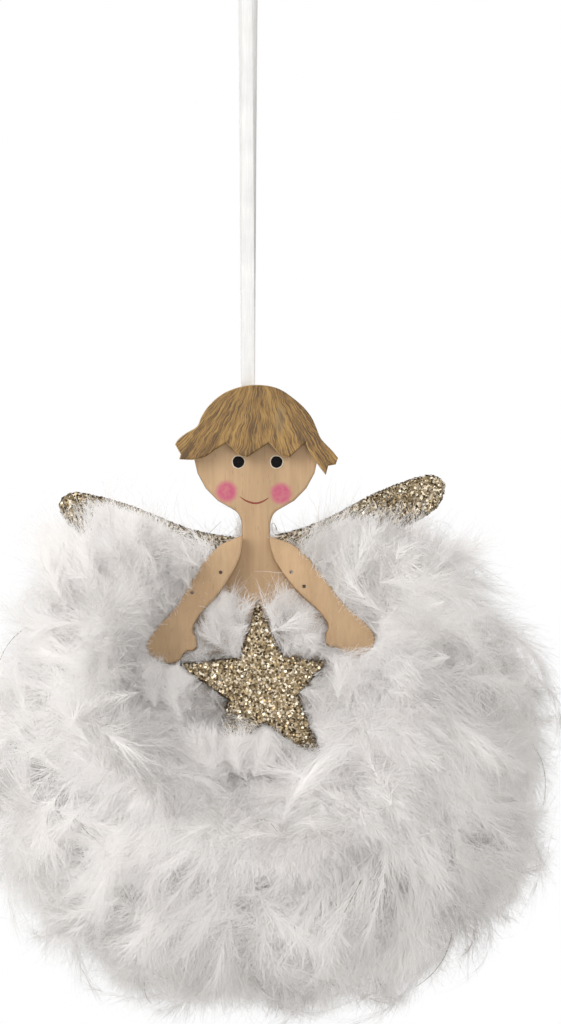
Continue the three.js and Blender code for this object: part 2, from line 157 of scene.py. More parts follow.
class RibbonSettings(bpy.types.PropertyGroup):
    """Flat satin ribbon."""

    width: length_of("Width", 0.003, "Across the ribbon")
    thickness: length_of("Thickness", 0.00016, "Of the woven band")
    colour: tint("Satin", (0.84, 0.835, 0.82), "Colour of the satin")
    dull: tint("Satin, dull", (0.78, 0.775, 0.77), "Colour of its duller patches")
    edge: tint("Selvedge", (0.6, 0.59, 0.57), "Colour of the woven edges")


class WoodSettings(bpy.types.PropertyGroup):
    """Plywood, hair paint and pins."""

    light: tint("Pale grain", (0.565, 0.388, 0.226), "Light lines of the veneer")
    dark: tint("Dark grain", (0.495, 0.326, 0.182), "Dark lines of the veneer")
    edge: tint("Cut edge", (0.36, 0.21, 0.1), "Cut edge of the plywood")
    hair_light: tint("Hair, light", (0.43, 0.263, 0.085), "Dry-brushed strokes")
    hair_mid: tint("Hair, middle", (0.262, 0.146, 0.042), "Main coat")
    # The darkest hair colour also paints shade on the rim's right-facing sides
    hair_dark_and_rim_shade: tint("Hair, dark", (0.088, 0.046, 0.015), "Gaps between the strokes")
    hair_grey: tint("Hair, grey", (0.2, 0.17, 0.115), "Greyed patch near the crown")
    # Painted light: the bare rim is paler than the plywood's face, as if lit from the left
    hair_rim_painted_light: tint("Hair, rim", (0.62, 0.45, 0.25), "Bare wood along the hair's cut edge")
    hair_rim_dark: tint("Hair, dark rim", (0.5, 0.34, 0.17), "Darker patches of that edge")
    steel: tint("Pins", (0.05, 0.04, 0.035), "Pin heads")
    steel_worn: tint("Pins, worn", (0.11, 0.085, 0.065), "Worn spots of the pin heads")


class FaceSettings(bpy.types.PropertyGroup):
    """Painted eyes, cheeks and smile."""

    eye_left: face_spot("Left eye", (-0.00205, -0.10758))
    eye_right: face_spot("Right eye", (0.00612, -0.10758))
    eye_radius: length_of("Eye", 0.00127, "Radius of an eye's black dot")
    eye_rim: length_of("Eye rim", 0.0002, "Width of its white rim")
    black: tint("Eye, black", (0.006, 0.005, 0.005), "Colour of the dots")
    white: tint("Eye, white", (0.74, 0.64, 0.52), "Colour of their rims")
    cheek_left: face_spot("Left cheek", (-0.00460, -0.11396))
    cheek_right: face_spot("Right cheek", (0.00708, -0.11435))
    cheek_radius: length_of("Cheek", 0.0024, "Radius of a cheek")
    cheek: tint("Blush", (0.54, 0.098, 0.19), "Colour of the cheeks")
    lips: tint("Smile", (0.28, 0.04, 0.022), "Colour of the smile")


class GlitterSettings(bpy.types.PropertyGroup):
    """Loose gold flakes on the star and the wings."""

    radius: length_of("Flake", 0.00027, "Middle radius of a flake")
    density: FloatProperty(
        name="Density", description="Flakes to a square millimetre", default=5.5, min=0.0
    )
    # Painted glints and dark reflections, in part: the flakes run at random from dark bronze to pale gold
    pale: tint("Pale flakes", (0.86, 0.775, 0.615), "Brightest flakes")
    gold: tint("Gold flakes", (0.345, 0.257, 0.142), "Middle flakes")
    bronze: tint("Dark flakes", (0.06, 0.038, 0.017), "Darkest flakes")
    # Painted shade: this darkens all of the wings' flakes
    wing_painted_shade: share("Wing", 0.6, "Brightness of the wings' duller flakes")


class FeatherSettings(bpy.types.PropertyGroup):
    """Feather boa that makes the round skirt."""

    seed: IntProperty(name="Seed", description="Start of the random draws", default=11)
    spacing: length_of("Spacing", 0.0044, "Between neighbouring plumes on the skirt's skin")
    barbs: IntProperty(name="Barbs", description="Barbs on one plume", default=180, min=10)
    barb_length: length_of("Barb", 0.0135, "Longest barb")
    barb_width: length_of("Barb width", 0.0001, "Barb at its root")
    plume: length_of("Plume", 0.024, "Longest plume")
    wisps: IntProperty(
        name="Wisps", description="Loose strands that stand out of the skirt", default=9000, min=0
    )
    colour: tint("Down", (0.965, 0.949, 0.935), "Colour of the feathers")
    shade: tint("Down, shaded", (0.89, 0.868, 0.855), "Colour of the duller feathers")
    glow: share("Glow", 0.3, "Share of the light that a barb scatters through itself")
    airy: share("Airy", 0.5, "Share of the lamps' light that passes a barb")
    quill: tint("Quills", (0.36, 0.3, 0.25), "Colour of the quills")
    string_dark: tint("String, dark", (0.62, 0.6, 0.56), "Shaded fibres of the string")
    string_light: tint("String, light", (0.86, 0.85, 0.82), "Bright fibres of the string")


class OrnamentSettings(bpy.types.PropertyGroup):
    """All sizes and colours of the dressing."""

    stage: PointerProperty(type=StageSettings)
    ribbon: PointerProperty(type=RibbonSettings)
    wood: PointerProperty(type=WoodSettings)
    face: PointerProperty(type=FaceSettings)
    glitter: PointerProperty(type=GlitterSettings)
    feathers: PointerProperty(type=FeatherSettings)


def rgba(colour):
    """A swatch as the four numbers of a colour socket."""
    return (*colour, 1.0)


def feed(tree, socket, value):
    """Links a socket to the one that feeds it, or sets its value."""
    if isinstance(value, bpy.types.NodeSocket):
        tree.links.new(value, socket)
    else:
        socket.default_value = value


def add_node(tree, kind, inputs=None, **settings):
    """A shader node; inputs holds values or the sockets that feed it."""
    made = tree.nodes.new("ShaderNode" + kind)
    for key, value in settings.items():
        setattr(made, key, value)
    for key, value in (inputs or {}).items():
        feed(tree, made.inputs[key], value)
    return made


def new_material(name):
    """An empty node material and its tree."""
    material = bpy.data.materials.new(name)
    material.use_nodes = True
    material.node_tree.nodes.clear()
    return material, material.node_tree


def finish_material(tree, shader):
    """Joins a shader to the output."""
    add_node(tree, "OutputMaterial", {"Surface": shader})


def surface(material, tree, inputs, relief=None):
    """Ends a material with a Principled shader; relief holds its bump's height, strength and depth."""
    if relief:
        bump = add_node(tree, "Bump", dict(zip(("Height", "Strength", "Distance"), relief)))
        inputs["Normal"] = bump.outputs[0]
    finish_material(tree, add_node(tree, "BsdfPrincipled", inputs).outputs[0])
    return material


def object_place(tree):
    """The socket of the place on the object."""
    return add_node(tree, "TexCoord").outputs["Object"]


def parts_of(tree, vector):
    """The X, Y and Z sockets of a vector."""
    return add_node(tree, "SeparateXYZ", {0: vector}).outputs


def blend_colours(tree, factor, first, second, mode="MIX"):
    """The socket of a mix of two colours."""
    mix = add_node(tree, "Mix", data_type="RGBA", blend_type=mode)
    for index, value in ((0, factor), (6, first), (7, second)):
        feed(tree, mix.inputs[index], value)
    return mix.outputs[2]


def math_node(tree, operation, first, second=0.0, third=0.0):
    """The socket of a sum on numbers or sockets."""
    return add_node(tree, "Math", {0: first, 1: second, 2: third}, operation=operation).outputs[0]


def distance_to(tree, vector, place):
    """The socket of the distance from a fixed place."""
    return add_node(tree, "VectorMath", {0: vector, 1: place}, operation="DISTANCE").outputs["Value"]


def map_range(tree, value, low, high, to_low=0.0, to_high=1.0, smooth=True):
    """The socket of a value carried from one range to another."""
    node = add_node(
        tree,
        "MapRange",
        {"Value": value, "From Min": low, "From Max": high, "To Min": to_low, "To Max": to_high},
        interpolation_type="SMOOTHSTEP" if smooth else "LINEAR",
    )
    return node.outputs[0]


def ramp(tree, factor, stops):
    """The socket of a colour ramp with the given (place, colour) stops."""
    node = add_node(tree, "ValToRGB", {"Fac": factor})
    elements = node.color_ramp.elements
    while len(elements) < len(stops):
        elements.new(0.5)
    for element, (place, colour) in zip(elements, stops):
        element.position = place
        element.color = rgba(colour)
    return node.outputs[0]


def noise(tree, vector, scale, detail=3.0, roughness=0.55, distortion=0.0):
    """The socket of a noise texture."""
    inputs = {"Vector": vector, "Scale": scale, "Detail": detail}
    inputs.update({"Roughness": roughness, "Distortion": distortion})
    return add_node(tree, "TexNoise", inputs).outputs["Fac"]


def stretched(tree, vector, scale):
    """Coordinates scaled by axis."""
    return add_node(tree, "Mapping", {"Vector": vector, "Scale": scale}).outputs[0]


def add_piece(name, mesh, materials, body, hides=()):
    """Puts a mesh in the scene as a piece that rides on a body and hides the CAD nodes it stands for."""
    piece = bpy.data.objects.new(name, mesh)
    bpy.context.scene.collection.objects.link(piece)
    for material in materials:
        mesh.materials.append(material)
    if body:
        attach(piece, body)
    if hides:
        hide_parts(*hides)
    return piece


def face_mesh(name, points, faces, smooth=True, normals=None):
    """A mesh from points (n, 3) and faces with equally many corners (m, k); normals bend its shading."""
    mesh = bpy.data.meshes.new(name)
    faces = np.ascontiguousarray(faces, dtype=np.int32)
    count, corners = faces.shape
    mesh.vertices.add(len(points))
    mesh.vertices.foreach_set("co", np.ascontiguousarray(points, dtype=np.float32).ravel())
    mesh.loops.add(faces.size)
    mesh.loops.foreach_set("vertex_index", faces.ravel())
    mesh.polygons.add(count)
    mesh.polygons.foreach_set("loop_start", np.arange(0, faces.size, corners, dtype=np.int32))
    mesh.polygons.foreach_set("use_smooth", np.full(count, smooth))
    mesh.update(calc_edges=True)
    if normals is not None:
        mesh.normals_split_custom_set_from_vertices(normals)
    return mesh


def grid_quads(along, across, closed):
    """Corners of the quads in a grid of points, closed or open across."""
    index = np.arange(along * across).reshape(along, across)
    if closed:
        index = np.concatenate([index, index[:, :1]], 1)
    corners = index[:-1, :-1], index[:-1, 1:], index[1:, 1:], index[1:, :-1]
    return np.stack(corners, -1).reshape(-1, 4)


def grid_mesh(name, rows, closed=True):
    """A smooth quad mesh from rows of points, shape (along, across, 3)."""
    along, across = rows.shape[:2]
    return face_mesh(name, rows.reshape(-1, 3), grid_quads(along, across, closed))


def unit(vectors):
    """Vectors of length one along the last axis."""
    return vectors / np.maximum(np.linalg.norm(vectors, axis=-1, keepdims=True), 1e-12)


def go(directions, lengths):
    """Steps along directions, each of its own length."""
    return directions * lengths[:, None]


def strewn(rng, main, spread, count, drift=0.0):
    """Unit vectors scattered round a main direction and drifting along X."""
    made = np.asarray(main) + rng.normal(0.0, spread, (count, 3))
    made[:, 0] += drift
    return unit(made)


def join(parts):
    """Several tuples of arrays as one."""
    return tuple(np.concatenate(arrays) for arrays in zip(*parts))


def circles(centres, first, second, radius, corners):
    """Points (..., corners, 3) on circles round centres, each in the plane of two unit vectors."""
    turn = np.linspace(0.0, FULL_TURN, corners, endpoint=False)
    spokes = first[..., None, :] * np.cos(turn)[:, None] + second[..., None, :] * np.sin(turn)[:, None]
    return centres[..., None, :] + spokes * np.asarray(radius)[..., None, None]


def run_along(points):
    """Way gone from the first point to each."""
    return np.concatenate([[0.0], np.cumsum(np.linalg.norm(np.diff(points, axis=0), axis=1))])


def smooth_route(points, steps, fine_steps=24):
    """A Catmull-Rom curve through the points, as evenly spaced places, and its length."""
    knots = np.asarray(points, float)
    padded = np.vstack([2 * knots[0] - knots[1], knots, 2 * knots[-1] - knots[-2]])
    fine = []
    for i in range(len(knots) - 1):
        a, b, c, d = padded[i : i + 4]
        square = 2 * a - 5 * b + 4 * c - d
        cube = 3 * b - a - 3 * c + d
        for t in np.linspace(0.0, 1.0, fine_steps, endpoint=False):
            fine.append(0.5 * (2 * b + (c - a) * t + square * t**2 + cube * t**3))
    fine = np.vstack(fine + [knots[-1:]])
    run = run_along(fine)
    wanted = np.linspace(0.0, run[-1], steps)
    return np.stack([np.interp(wanted, run, fine[:, k]) for k in range(3)], 1), run[-1]


def ribbon_rows(centres, width, thickness, rng, ripple):
    """Cross-sections of a thin band along centres, its width across X, gently cupped and rippled."""
    lane_count, cup_level, cup_depth = 9, 0.1, 0.00056
    slow_beat, quick_beat, quick_share = 41, 97, 0.6
    tangents = unit(np.gradient(centres, axis=0))
    across = unit(np.array([1.0, 0.0, 0.0]) - tangents * tangents[:, :1])
    facing = np.cross(tangents, across)
    lanes = np.sin(np.linspace(-0.5, 0.5, lane_count) * math.pi) * 0.5
    phase = rng.random(3) * PHASE
    place = np.linspace(0.0, 1.0, len(centres))
    sway = np.sin(place * slow_beat + phase[0]) + quick_share * np.sin(place * quick_beat + phase[1])
    rows = []
    for side in (1, -1):
        order = lanes[::side]
        cup = (order**2 - cup_level) * cup_depth
        lift = cup + (ripple * sway)[:, None] * order * 2 + side * thickness / 2
        flat = centres[:, None] + across[:, None] * (order * width)[:, None]
        rows.append(flat + facing[:, None] * lift[..., None])
    return np.concatenate(rows, 1)


def satin_finish(settings):
    """White satin: fine weft lines, woven edges and a soft gloss."""
    material, tree = new_material("ribbon_satin")
    where = object_place(tree)
    weft = add_node(
        tree,
        "TexWave",
        {"Vector": where, "Scale": 1500.0, "Distortion": 1.2, "Detail": 2.0, "Detail Scale": 2.0},
        bands_direction="Z",
    ).outputs["Fac"]
    warp = noise(tree, stretched(tree, where, (1.0, 1.0, 0.03)), scale=4200.0, detail=2.0)
    cloud = noise(tree, where, scale=140.0)
    off_middle = math_node(tree, "ABSOLUTE", parts_of(tree, where)["X"])
    edge = map_range(tree, off_middle, settings.width * 0.38, settings.width * 0.52)
    dull = map_range(tree, cloud, 0.35, 0.7)
    tone = blend_colours(tree, dull, rgba(settings.colour), rgba(settings.dull))
    tone = blend_colours(tree, math_node(tree, "MULTIPLY", edge, 0.5), tone, rgba(settings.edge))
    lines = map_range(tree, warp, 0.35, 0.65, 0.93, 1.0)
    inputs = {
        "Base Color": blend_colours(tree, 1.0, tone, lines, "MULTIPLY"),
        "Roughness": map_range(tree, weft, 0.0, 1.0, 0.34, 0.48),
        "Sheen Weight": 0.25,
        "Anisotropic": 0.5,
    }
    height = math_node(tree, "ADD", math_node(tree, "MULTIPLY", weft, 0.6), warp)
    return surface(material, tree, inputs, relief=(height, 0.25, 0.00004))


def eye_of(settings):
    """The camera's direction from the aim point and its place."""
    turn, rise = settings.turn, settings.rise
    flat = math.cos(rise)
    away = Vector((flat * math.sin(turn), -flat * math.cos(turn), math.sin(rise)))
    return away, Vector(settings.aim) + away * settings.distance


class ORNAMENT_OT_stage(bpy.types.Operator):
    """Camera, lamps and the plain white surround"""

    bl_idname = "ornament.stage"
    bl_label = "Stage"

    # Each soft lamp's place from the aim point and the side of its square, in metres
    LAMPS = {
        "key": ((-0.6, -0.62, 0.4), 0.6),
        "fill": ((0.14, -0.93, 0.08), 0.4),
        "back": ((0.3, 0.9, 0.3), 0.8),
    }
    SENSOR = 36.0
    FAR = 20.0
    FLOOR_HALF = 3.0
    FLOOR_COLOUR = (0.8, 0.8, 0.79, 1.0)
    SKY_COLOUR = (1.0, 0.99, 0.975, 1.0)

    def execute(self, context):
        scene = context.scene
        settings = scene.ornament.stage
        scene.view_settings.view_transform = "Standard"
        away, eye = eye_of(settings)
        lens = bpy.data.cameras.new("camera")
        lens.sensor_width = self.SENSOR
        lens.lens = lens.sensor_width * settings.distance / settings.field
        lens.clip_end = self.FAR
        scene.camera = self.turned("camera", lens, eye, away)
        for name, (offset, size) in self.LAMPS.items():
            light = bpy.data.lights.new(name, "AREA")
            light.energy = getattr(settings, f"{name}_power")
            light.size = size
            self.turned(name, light, Vector(settings.aim) + Vector(offset), Vector(offset))
        self.surround(scene, settings)
        self.floor(settings)
        return {"FINISHED"}

    @staticmethod
    def turned(name, data, place, away):
        """A camera or lamp at a place, turned to the ornament."""
        made = bpy.data.objects.new(name, data)
        made.location = place
        made.rotation_euler = (-away).to_track_quat("-Z", "Y").to_euler()
        bpy.context.scene.collection.objects.link(made)
        return made

    @staticmethod
    def shown_white(tree, lit, white):
        """White for rays from the camera, a mirror or glass, and lit for all others."""
        path = add_node(tree, "LightPath").outputs
        seen = math_node(tree, "MAXIMUM", path["Is Camera Ray"], path["Is Glossy Ray"])
        seen = math_node(tree, "MAXIMUM", seen, path["Is Transmission Ray"])
        return add_node(tree, "MixShader", {0: seen, 1: lit.outputs[0], 2: white.outputs[0]}).outputs[0]

    def surround(self, scene, settings):
        """A white world whose light comes mostly from above."""
        world = bpy.data.worlds.new("surround")
        world.use_nodes = True
        tree = world.node_tree
        tree.nodes.clear()
        height = parts_of(tree, add_node(tree, "TexCoord").outputs["Generated"])["Z"]
        light = map_range(tree, height, -0.8, 0.9, 0.7, 1.15)
        strength = math_node(tree, "MULTIPLY", light, settings.surround)
        lit = add_node(tree, "Background", {"Color": self.SKY_COLOUR, "Strength": strength})
        white = add_node(tree, "Background", {"Color": WHITE, "Strength": 1.0})
        add_node(tree, "OutputWorld", {"Surface": self.shown_white(tree, lit, white)})
        scene.world = world

    def floor(self, settings):
        """A wide pale floor below the ornament."""
        material, tree = new_material("floor")
        lit = add_node(tree, "BsdfDiffuse", {"Color": self.FLOOR_COLOUR})
        white = add_node(tree, "Emission", {"Color": WHITE, "Strength": 1.0})
        finish_material(tree, self.shown_white(tree, lit, white))
        signs = ((-1, -1), (1, -1), (1, 1), (-1, 1))
        corners = [(x * self.FLOOR_HALF, y * self.FLOOR_HALF, settings.floor_drop) for x, y in signs]
        floor = bpy.data.objects.new("floor", face_mesh("floor", corners, [[0, 1, 2, 3]]))
        floor.data.materials.append(material)
        bpy.context.scene.collection.objects.link(floor)


class ORNAMENT_OT_ribbon(bpy.types.Operator):
    """Satin ribbon doubled over its hook, with two tails glued under the hair"""

    bl_idname = "ornament.ribbon"
    bl_label = "Ribbon"

    SEED = 5
    STEPS = 420
    RIPPLE = 0.00006
    TAILS = {"front": -0.2, "back": 0.2}
    TAIL_HEIGHTS = (-90.45, -92.5, -96.5, -100.8)
    TAIL_STEPS = 24

    def execute(self, context):
        settings = context.scene.ornament.ribbon
        width, thickness = settings.width, settings.thickness
        rng = np.random.default_rng(self.SEED)
        satin = satin_finish(settings)
        centres, run = smooth_route(np.array(RIBBON_ROUTE) * MM, self.STEPS)
        mesh = grid_mesh("ribbon", ribbon_rows(centres, width, thickness, rng, self.RIPPLE))
        ribbon = add_piece("ribbon", mesh, [satin], None)
        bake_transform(ribbon)
        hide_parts("ribbon_loop", "ribbon_front_strand", "ribbon_back_strand")
        for name, y in self.TAILS.items():
            down = np.array([(0, y, z) for z in self.TAIL_HEIGHTS]) * MM
            places, _ = smooth_route(down, self.TAIL_STEPS)
            tail = grid_mesh(f"ribbon_tail_{name}", ribbon_rows(places, width, thickness, rng, 0.0))
            add_piece(f"ribbon_tail_{name}", tail, [satin], "fairy", [f"ribbon_{name}_tail"])
        return {"FINISHED"}


def grain(tree, where, settings):
    """Veneer colour and its relief: fine vertical lines, flecks and slow mottling."""
    fine = noise(tree, stretched(tree, where, (1.0, 1.0, 0.05)), 1500.0, 4.0, 0.6, 0.15)
    broad = noise(tree, stretched(tree, where, (1.0, 1.0, 0.12)), 260.0, 2.0, 0.5, 0.3)
    mottle = noise(tree, where, scale=90.0, detail=2.0)
    fleck = noise(tree, stretched(tree, where, (1.0, 1.0, 0.1)), scale=3600.0, detail=1.0)
    tone = math_node(tree, "MULTIPLY_ADD", fine, 0.6, math_node(tree, "MULTIPLY", broad, 0.5))
    tone = map_range(tree, tone, 0.38, 0.74)
    colour = blend_colours(tree, tone, rgba(settings.dark), rgba(settings.light))
    mottled = map_range(tree, mottle, 0.3, 0.7, 0.92, 1.05)
    flecked = map_range(tree, fleck, 0.66, 0.74, 1.0, 0.82)
    for level in (mottled, flecked):
        colour = blend_colours(tree, 1.0, colour, level, "MULTIPLY")
    return colour, math_node(tree, "ADD", fine, math_node(tree, "MULTIPLY", fleck, 0.5))


def facing_front(tree, sides):
    """Nought on a plate's cut edges, one on its two faces."""
    return map_range(tree, math_node(tree, "ABSOLUTE", parts_of(tree, sides)["Y"]), 0.55, 0.85)


def cut_edge(tree, where, settings):
    """Colour of the plywood's cut edge, with its thin layers."""
    layer = 0.0011
    depth = math_node(tree, "MULTIPLY", parts_of(tree, where)["Y"], FULL_TURN / layer)
    scorch = noise(tree, where, scale=700.0)
    tone = math_node(tree, "MULTIPLY_ADD", math_node(tree, "SINE", depth), 0.12, scorch)
    return ramp(tree, map_range(tree, tone, 0.25, 0.75), [(0.0, settings.edge), (1.0, settings.light)])


def blush(tree, where, place, radius):
    """Powder of a round cheek: full in the middle, patchy and soft at the rim."""
    rough_by = 0.0012
    powder = noise(tree, where, scale=1300.0)
    away = distance_to(tree, stretched(tree, where, (1.0, 0.0, 1.0)), (place[0], 0.0, place[1]))
    rough = math_node(tree, "MULTIPLY_ADD", math_node(tree, "SUBTRACT", powder, 0.5), rough_by, away)
    brushed = map_range(tree, rough, radius * 0.62, radius * 1.18, 1.0, 0.0)
    return math_node(tree, "MULTIPLY", brushed, map_range(tree, powder, 0.35, 0.62, 0.72, 1.0))


def plywood_finish(name, settings, face=None):
    """Sanded bare plywood; with face, the cheeks are brushed on it."""
    material, tree = new_material(name)
    coords = add_node(tree, "TexCoord").outputs
    where, sides = coords["Object"], coords["Normal"]
    colour, relief = grain(tree, where, settings)
    if face:
        front = math_node(tree, "LESS_THAN", parts_of(tree, sides)["Y"], -0.5)
        for place in (face.cheek_left, face.cheek_right):
            powder = math_node(tree, "MULTIPLY", blush(tree, where, place, face.cheek_radius), front)
            colour = blend_colours(tree, powder, colour, rgba(face.cheek))
    edge = cut_edge(tree, where, settings)
    inputs = {
        "Base Color": blend_colours(tree, facing_front(tree, sides), edge, colour),
        "Roughness": map_range(tree, relief, 0.4, 1.1, 0.52, 0.7),
        "Specular IOR Level": 0.35,
    }
    return surface(material, tree, inputs, relief=(relief, 0.22, 0.00006))


def hair_finish(settings):
    """Dry-brushed strokes that fan out from the crown, over a bare wooden rim with painted light on its
    left and painted shade where it faces right.
    """
    crown_x, crown_z, reach = 0.0026, -0.0842, 0.0135
    sway_by, stroke_stretch = 0.0016, 0.05
    grey_x, grey_z, grey_squash = 0.0068, -0.0985, 0.34
    material, tree = new_material("hair_strokes")
    coords = add_node(tree, "TexCoord").outputs
    where = coords["Object"]
    parts = parts_of(tree, where)
    down = math_node(tree, "SUBTRACT", crown_z, parts["Z"])
    sway = math_node(tree, "SUBTRACT", noise(tree, where, scale=330.0, detail=2.0), 0.5)
    sway = math_node(tree, "MULTIPLY", sway, sway_by)
    off = math_node(tree, "ADD", math_node(tree, "SUBTRACT", parts["X"], crown_x), sway)
    fan = math_node(tree, "MULTIPLY", math_node(tree, "DIVIDE", off, down), reach)
    along = math_node(tree, "MULTIPLY", down, stroke_stretch)
    strokes = add_node(tree, "CombineXYZ", {"X": fan, "Y": 0.0, "Z": along}).outputs[0]
    fine = noise(tree, strokes, scale=4000.0, detail=4.0, roughness=0.7)
    broad = noise(tree, strokes, scale=640.0, roughness=0.6)
    dabs = noise(tree, stretched(tree, where, (1.0, 1.0, 0.35)), 900.0, 3.0, 0.6, 0.4)
    tone = math_node(tree, "MULTIPLY_ADD", fine, 0.62, math_node(tree, "MULTIPLY", broad, 0.23))
    tone = math_node(tree, "MULTIPLY_ADD", dabs, 0.12, tone)
    tone = map_range(tree, tone, 0.43, 0.575, smooth=False)
    stops = [(0.0, settings.hair_dark_and_rim_shade), (0.4, settings.hair_mid), (1.0, settings.hair_light)]
    colour = ramp(tree, tone, stops)
    flat = stretched(tree, where, (1.0, 0.0, grey_squash))
    spot = distance_to(tree, flat, (grey_x, 0.0, grey_z * grey_squash))
    greyed = math_node(tree, "MULTIPLY", map_range(tree, spot, 0.0006, 0.0014, 0.55, 0.0), dabs)
    colour = blend_colours(tree, greyed, colour, rgba(settings.hair_grey))
    # The rim is bare wood, made paler as painted light from the left
    worn = map_range(tree, noise(tree, where, scale=800.0), 0.35, 0.65)
    rim = blend_colours(tree, worn, rgba(settings.hair_rim_painted_light), rgba(settings.hair_rim_dark))
    looks = parts_of(tree, coords["Normal"])
    # Painted shade: where the rim faces right it takes the darkest hair colour
    rim = blend_colours(tree, map_range(tree, looks["X"], 0.0, 0.5), rim, rgba(settings.hair_dark_and_rim_shade))
    painted = map_range(tree, looks["Y"], -0.9, -0.62, 1.0, 0.0)
    inputs = {
        "Base Color": blend_colours(tree, painted, rim, colour),
        "Roughness": map_range(tree, fine, 0.3, 0.7, 0.42, 0.62),
        "Specular IOR Level": 0.4,
    }
    return surface(material, tree, inputs, relief=(math_node(tree, "ADD", fine, broad), 0.5, 0.00012))


def paint_finish(name, colour, roughness, variation=0.12, gloss=0.5):
    """A thin coat of paint with brush marks."""
    material, tree = new_material(name)
    marks = noise(tree, object_place(tree), scale=2600.0)
    level = map_range(tree, marks, 0.3, 0.7, 1.0 - variation, 1.0)
    tone = blend_colours(tree, 1.0, rgba(colour), level, "MULTIPLY")
    inputs = {"Base Color": tone, "Roughness": roughness, "Specular IOR Level": gloss}
    return surface(material, tree, inputs, relief=(marks, 0.2, 0.00003))


def pin_finish(settings):
    """Dull dark steel of the pin heads."""
    material, tree = new_material("pin_steel_dull")
    marks = noise(tree, object_place(tree), scale=5000.0)
    inputs = {
        "Base Color": blend_colours(tree, marks, rgba(settings.steel), rgba(settings.steel_worn)),
        "Metallic": 0.7,
        "Roughness": map_range(tree, marks, 0.3, 0.7, 0.4, 0.6),
    }
    return surface(material, tree, inputs)


def dress_node(name, material):
    """Gives a CAD node its finish."""
    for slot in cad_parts[name].material_slots:
        slot.material = material


class ORNAMENT_OT_wood(bpy.types.Operator):
    """Plywood body and arms, painted hair and steel pins"""

    bl_idname = "ornament.wood"
    bl_label = "Plywood"

    def execute(self, context):
        settings = context.scene.ornament.wood
        dress_node("body_plate", plywood_finish("plywood_body", settings, context.scene.ornament.face))
        arms = plywood_finish("plywood_arms", settings)
        for name in ("left_arm", "right_arm"):
            dress_node(name, arms)
        steel = pin_finish(settings)
        for name in ARM_PINS:
            dress_node(name, steel)
        dress_node("hair_plate", hair_finish(settings))
        return {"FINISHED"}


class ORNAMENT_OT_face(bpy.types.Operator):
    """Painted dots for eyes and a thin smile, standing slightly proud of the wood"""

    bl_idname = "ornament.face"
    bl_label = "Face"

    # Rings of a dab of paint: share of its radius and of its height
    DAB = ((1.0, 0.0), (0.985, 0.45), (0.93, 0.8), (0.75, 0.95), (0.4, 1.0), (0.02, 1.0))
    DAB_CORNERS = 48
    SUNK = 0.00002
    RIM_HEIGHT = 0.00007
    EYE_HEIGHT = 0.0002
    SMILE = [(-1.75, -115.0), (-0.3, -115.95), (1.5, -116.42), (3.0, -116.1), (4.45, -115.25)]
    SMILE_PROFILE = np.array([(-1.0, -0.2), (-0.8, 0.7), (0.0, 1.0), (0.8, 0.7), (1.0, -0.2)])
    SMILE_HALF = 0.00021
    SMILE_HEIGHT = 0.00007
    SMILE_STEPS = 40

    def execute(self, context):
        settings = context.scene.ornament.face
        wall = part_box("body_plate")[0].y
        black = paint_finish("eye_black", settings.black, 0.55, 0.4, gloss=0.08)
        white = paint_finish("eye_white", settings.white, 0.6)
        red = paint_finish("smile_red", settings.lips, 0.5, 0.35)
        for name, place in (("left", settings.eye_left), ("right", settings.eye_right)):
            rim = settings.eye_radius + settings.eye_rim
            self.dot(f"eye_{name}_white", place, rim, wall, self.RIM_HEIGHT, white)
            self.dot(f"eye_{name}_black", place, settings.eye_radius, wall, self.EYE_HEIGHT, black)
        self.smile(wall, red)
        return {"FINISHED"}

    def dot(self, name, place, radius, wall, height, material):
        """A round dab of paint with a slightly uneven edge."""
        turn = np.linspace(0.0, FULL_TURN, self.DAB_CORNERS, endpoint=False)
        uneven = 1.0 + 0.02 * np.sin(3 * turn + 1.0) + 0.012 * np.sin(7 * turn)
        rows = []
        for out, lift in self.DAB:
            raised = height * lift if lift > 0 else -self.SUNK
            x = place[0] + radius * out * uneven * np.cos(turn)
            z = place[1] + radius * out * uneven * np.sin(turn)
            rows.append(np.stack([x, np.full_like(turn, wall - raised), z], 1))
        add_piece(name, grid_mesh(name, np.array(rows)), [material], "fairy")

    def smile(self, wall, material):
        """A brush stroke that thins out at both ends."""
        points = [(x * MM, wall, z * MM) for x, z in self.SMILE]
        line, _ = smooth_route(points, self.SMILE_STEPS)
        along = np.linspace(0.0, 1.0, len(line))
        half = self.SMILE_HALF * np.sqrt(np.clip(np.sin(along * math.pi), 0.02, 1.0))
        across = np.cross(unit(np.gradient(line, axis=0)), np.array([0.0, 1.0, 0.0]))
        rows = line[:, None] + across[:, None] * (self.SMILE_PROFILE[:, 0] * half[:, None])[..., None]
        rows[..., 1] -= self.SMILE_PROFILE[:, 1] * self.SMILE_HEIGHT
        add_piece("smile", grid_mesh("smile", rows, closed=False), [material], "fairy")


def skin_of(node_name):
    """A CAD node's points and triangles as arrays."""
    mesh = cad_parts[node_name].data
    mesh.calc_loop_triangles()
    points = np.empty(len(mesh.vertices) * 3, np.float32)
    mesh.vertices.foreach_get("co", points)
    corners = np.empty(len(mesh.loop_triangles) * 3, np.int32)
    mesh.loop_triangles.foreach_get("vertices", corners)
    return points.reshape(-1, 3).astype(float), corners.reshape(-1, 3)


def solid_of(node_name):
    """A CAD node's skin as a tree for rays and nearest places."""
    points, corners = skin_of(node_name)
    return BVHTree.FromPolygons(points.tolist(), corners.tolist())


def spans(points, corners):
    """First corners, two sides and cross products of a skin's triangles."""
    a, b, c = (points[corners[:, k]] for k in range(3))
    return a, b - a, c - a, np.cross(b - a, c - a)


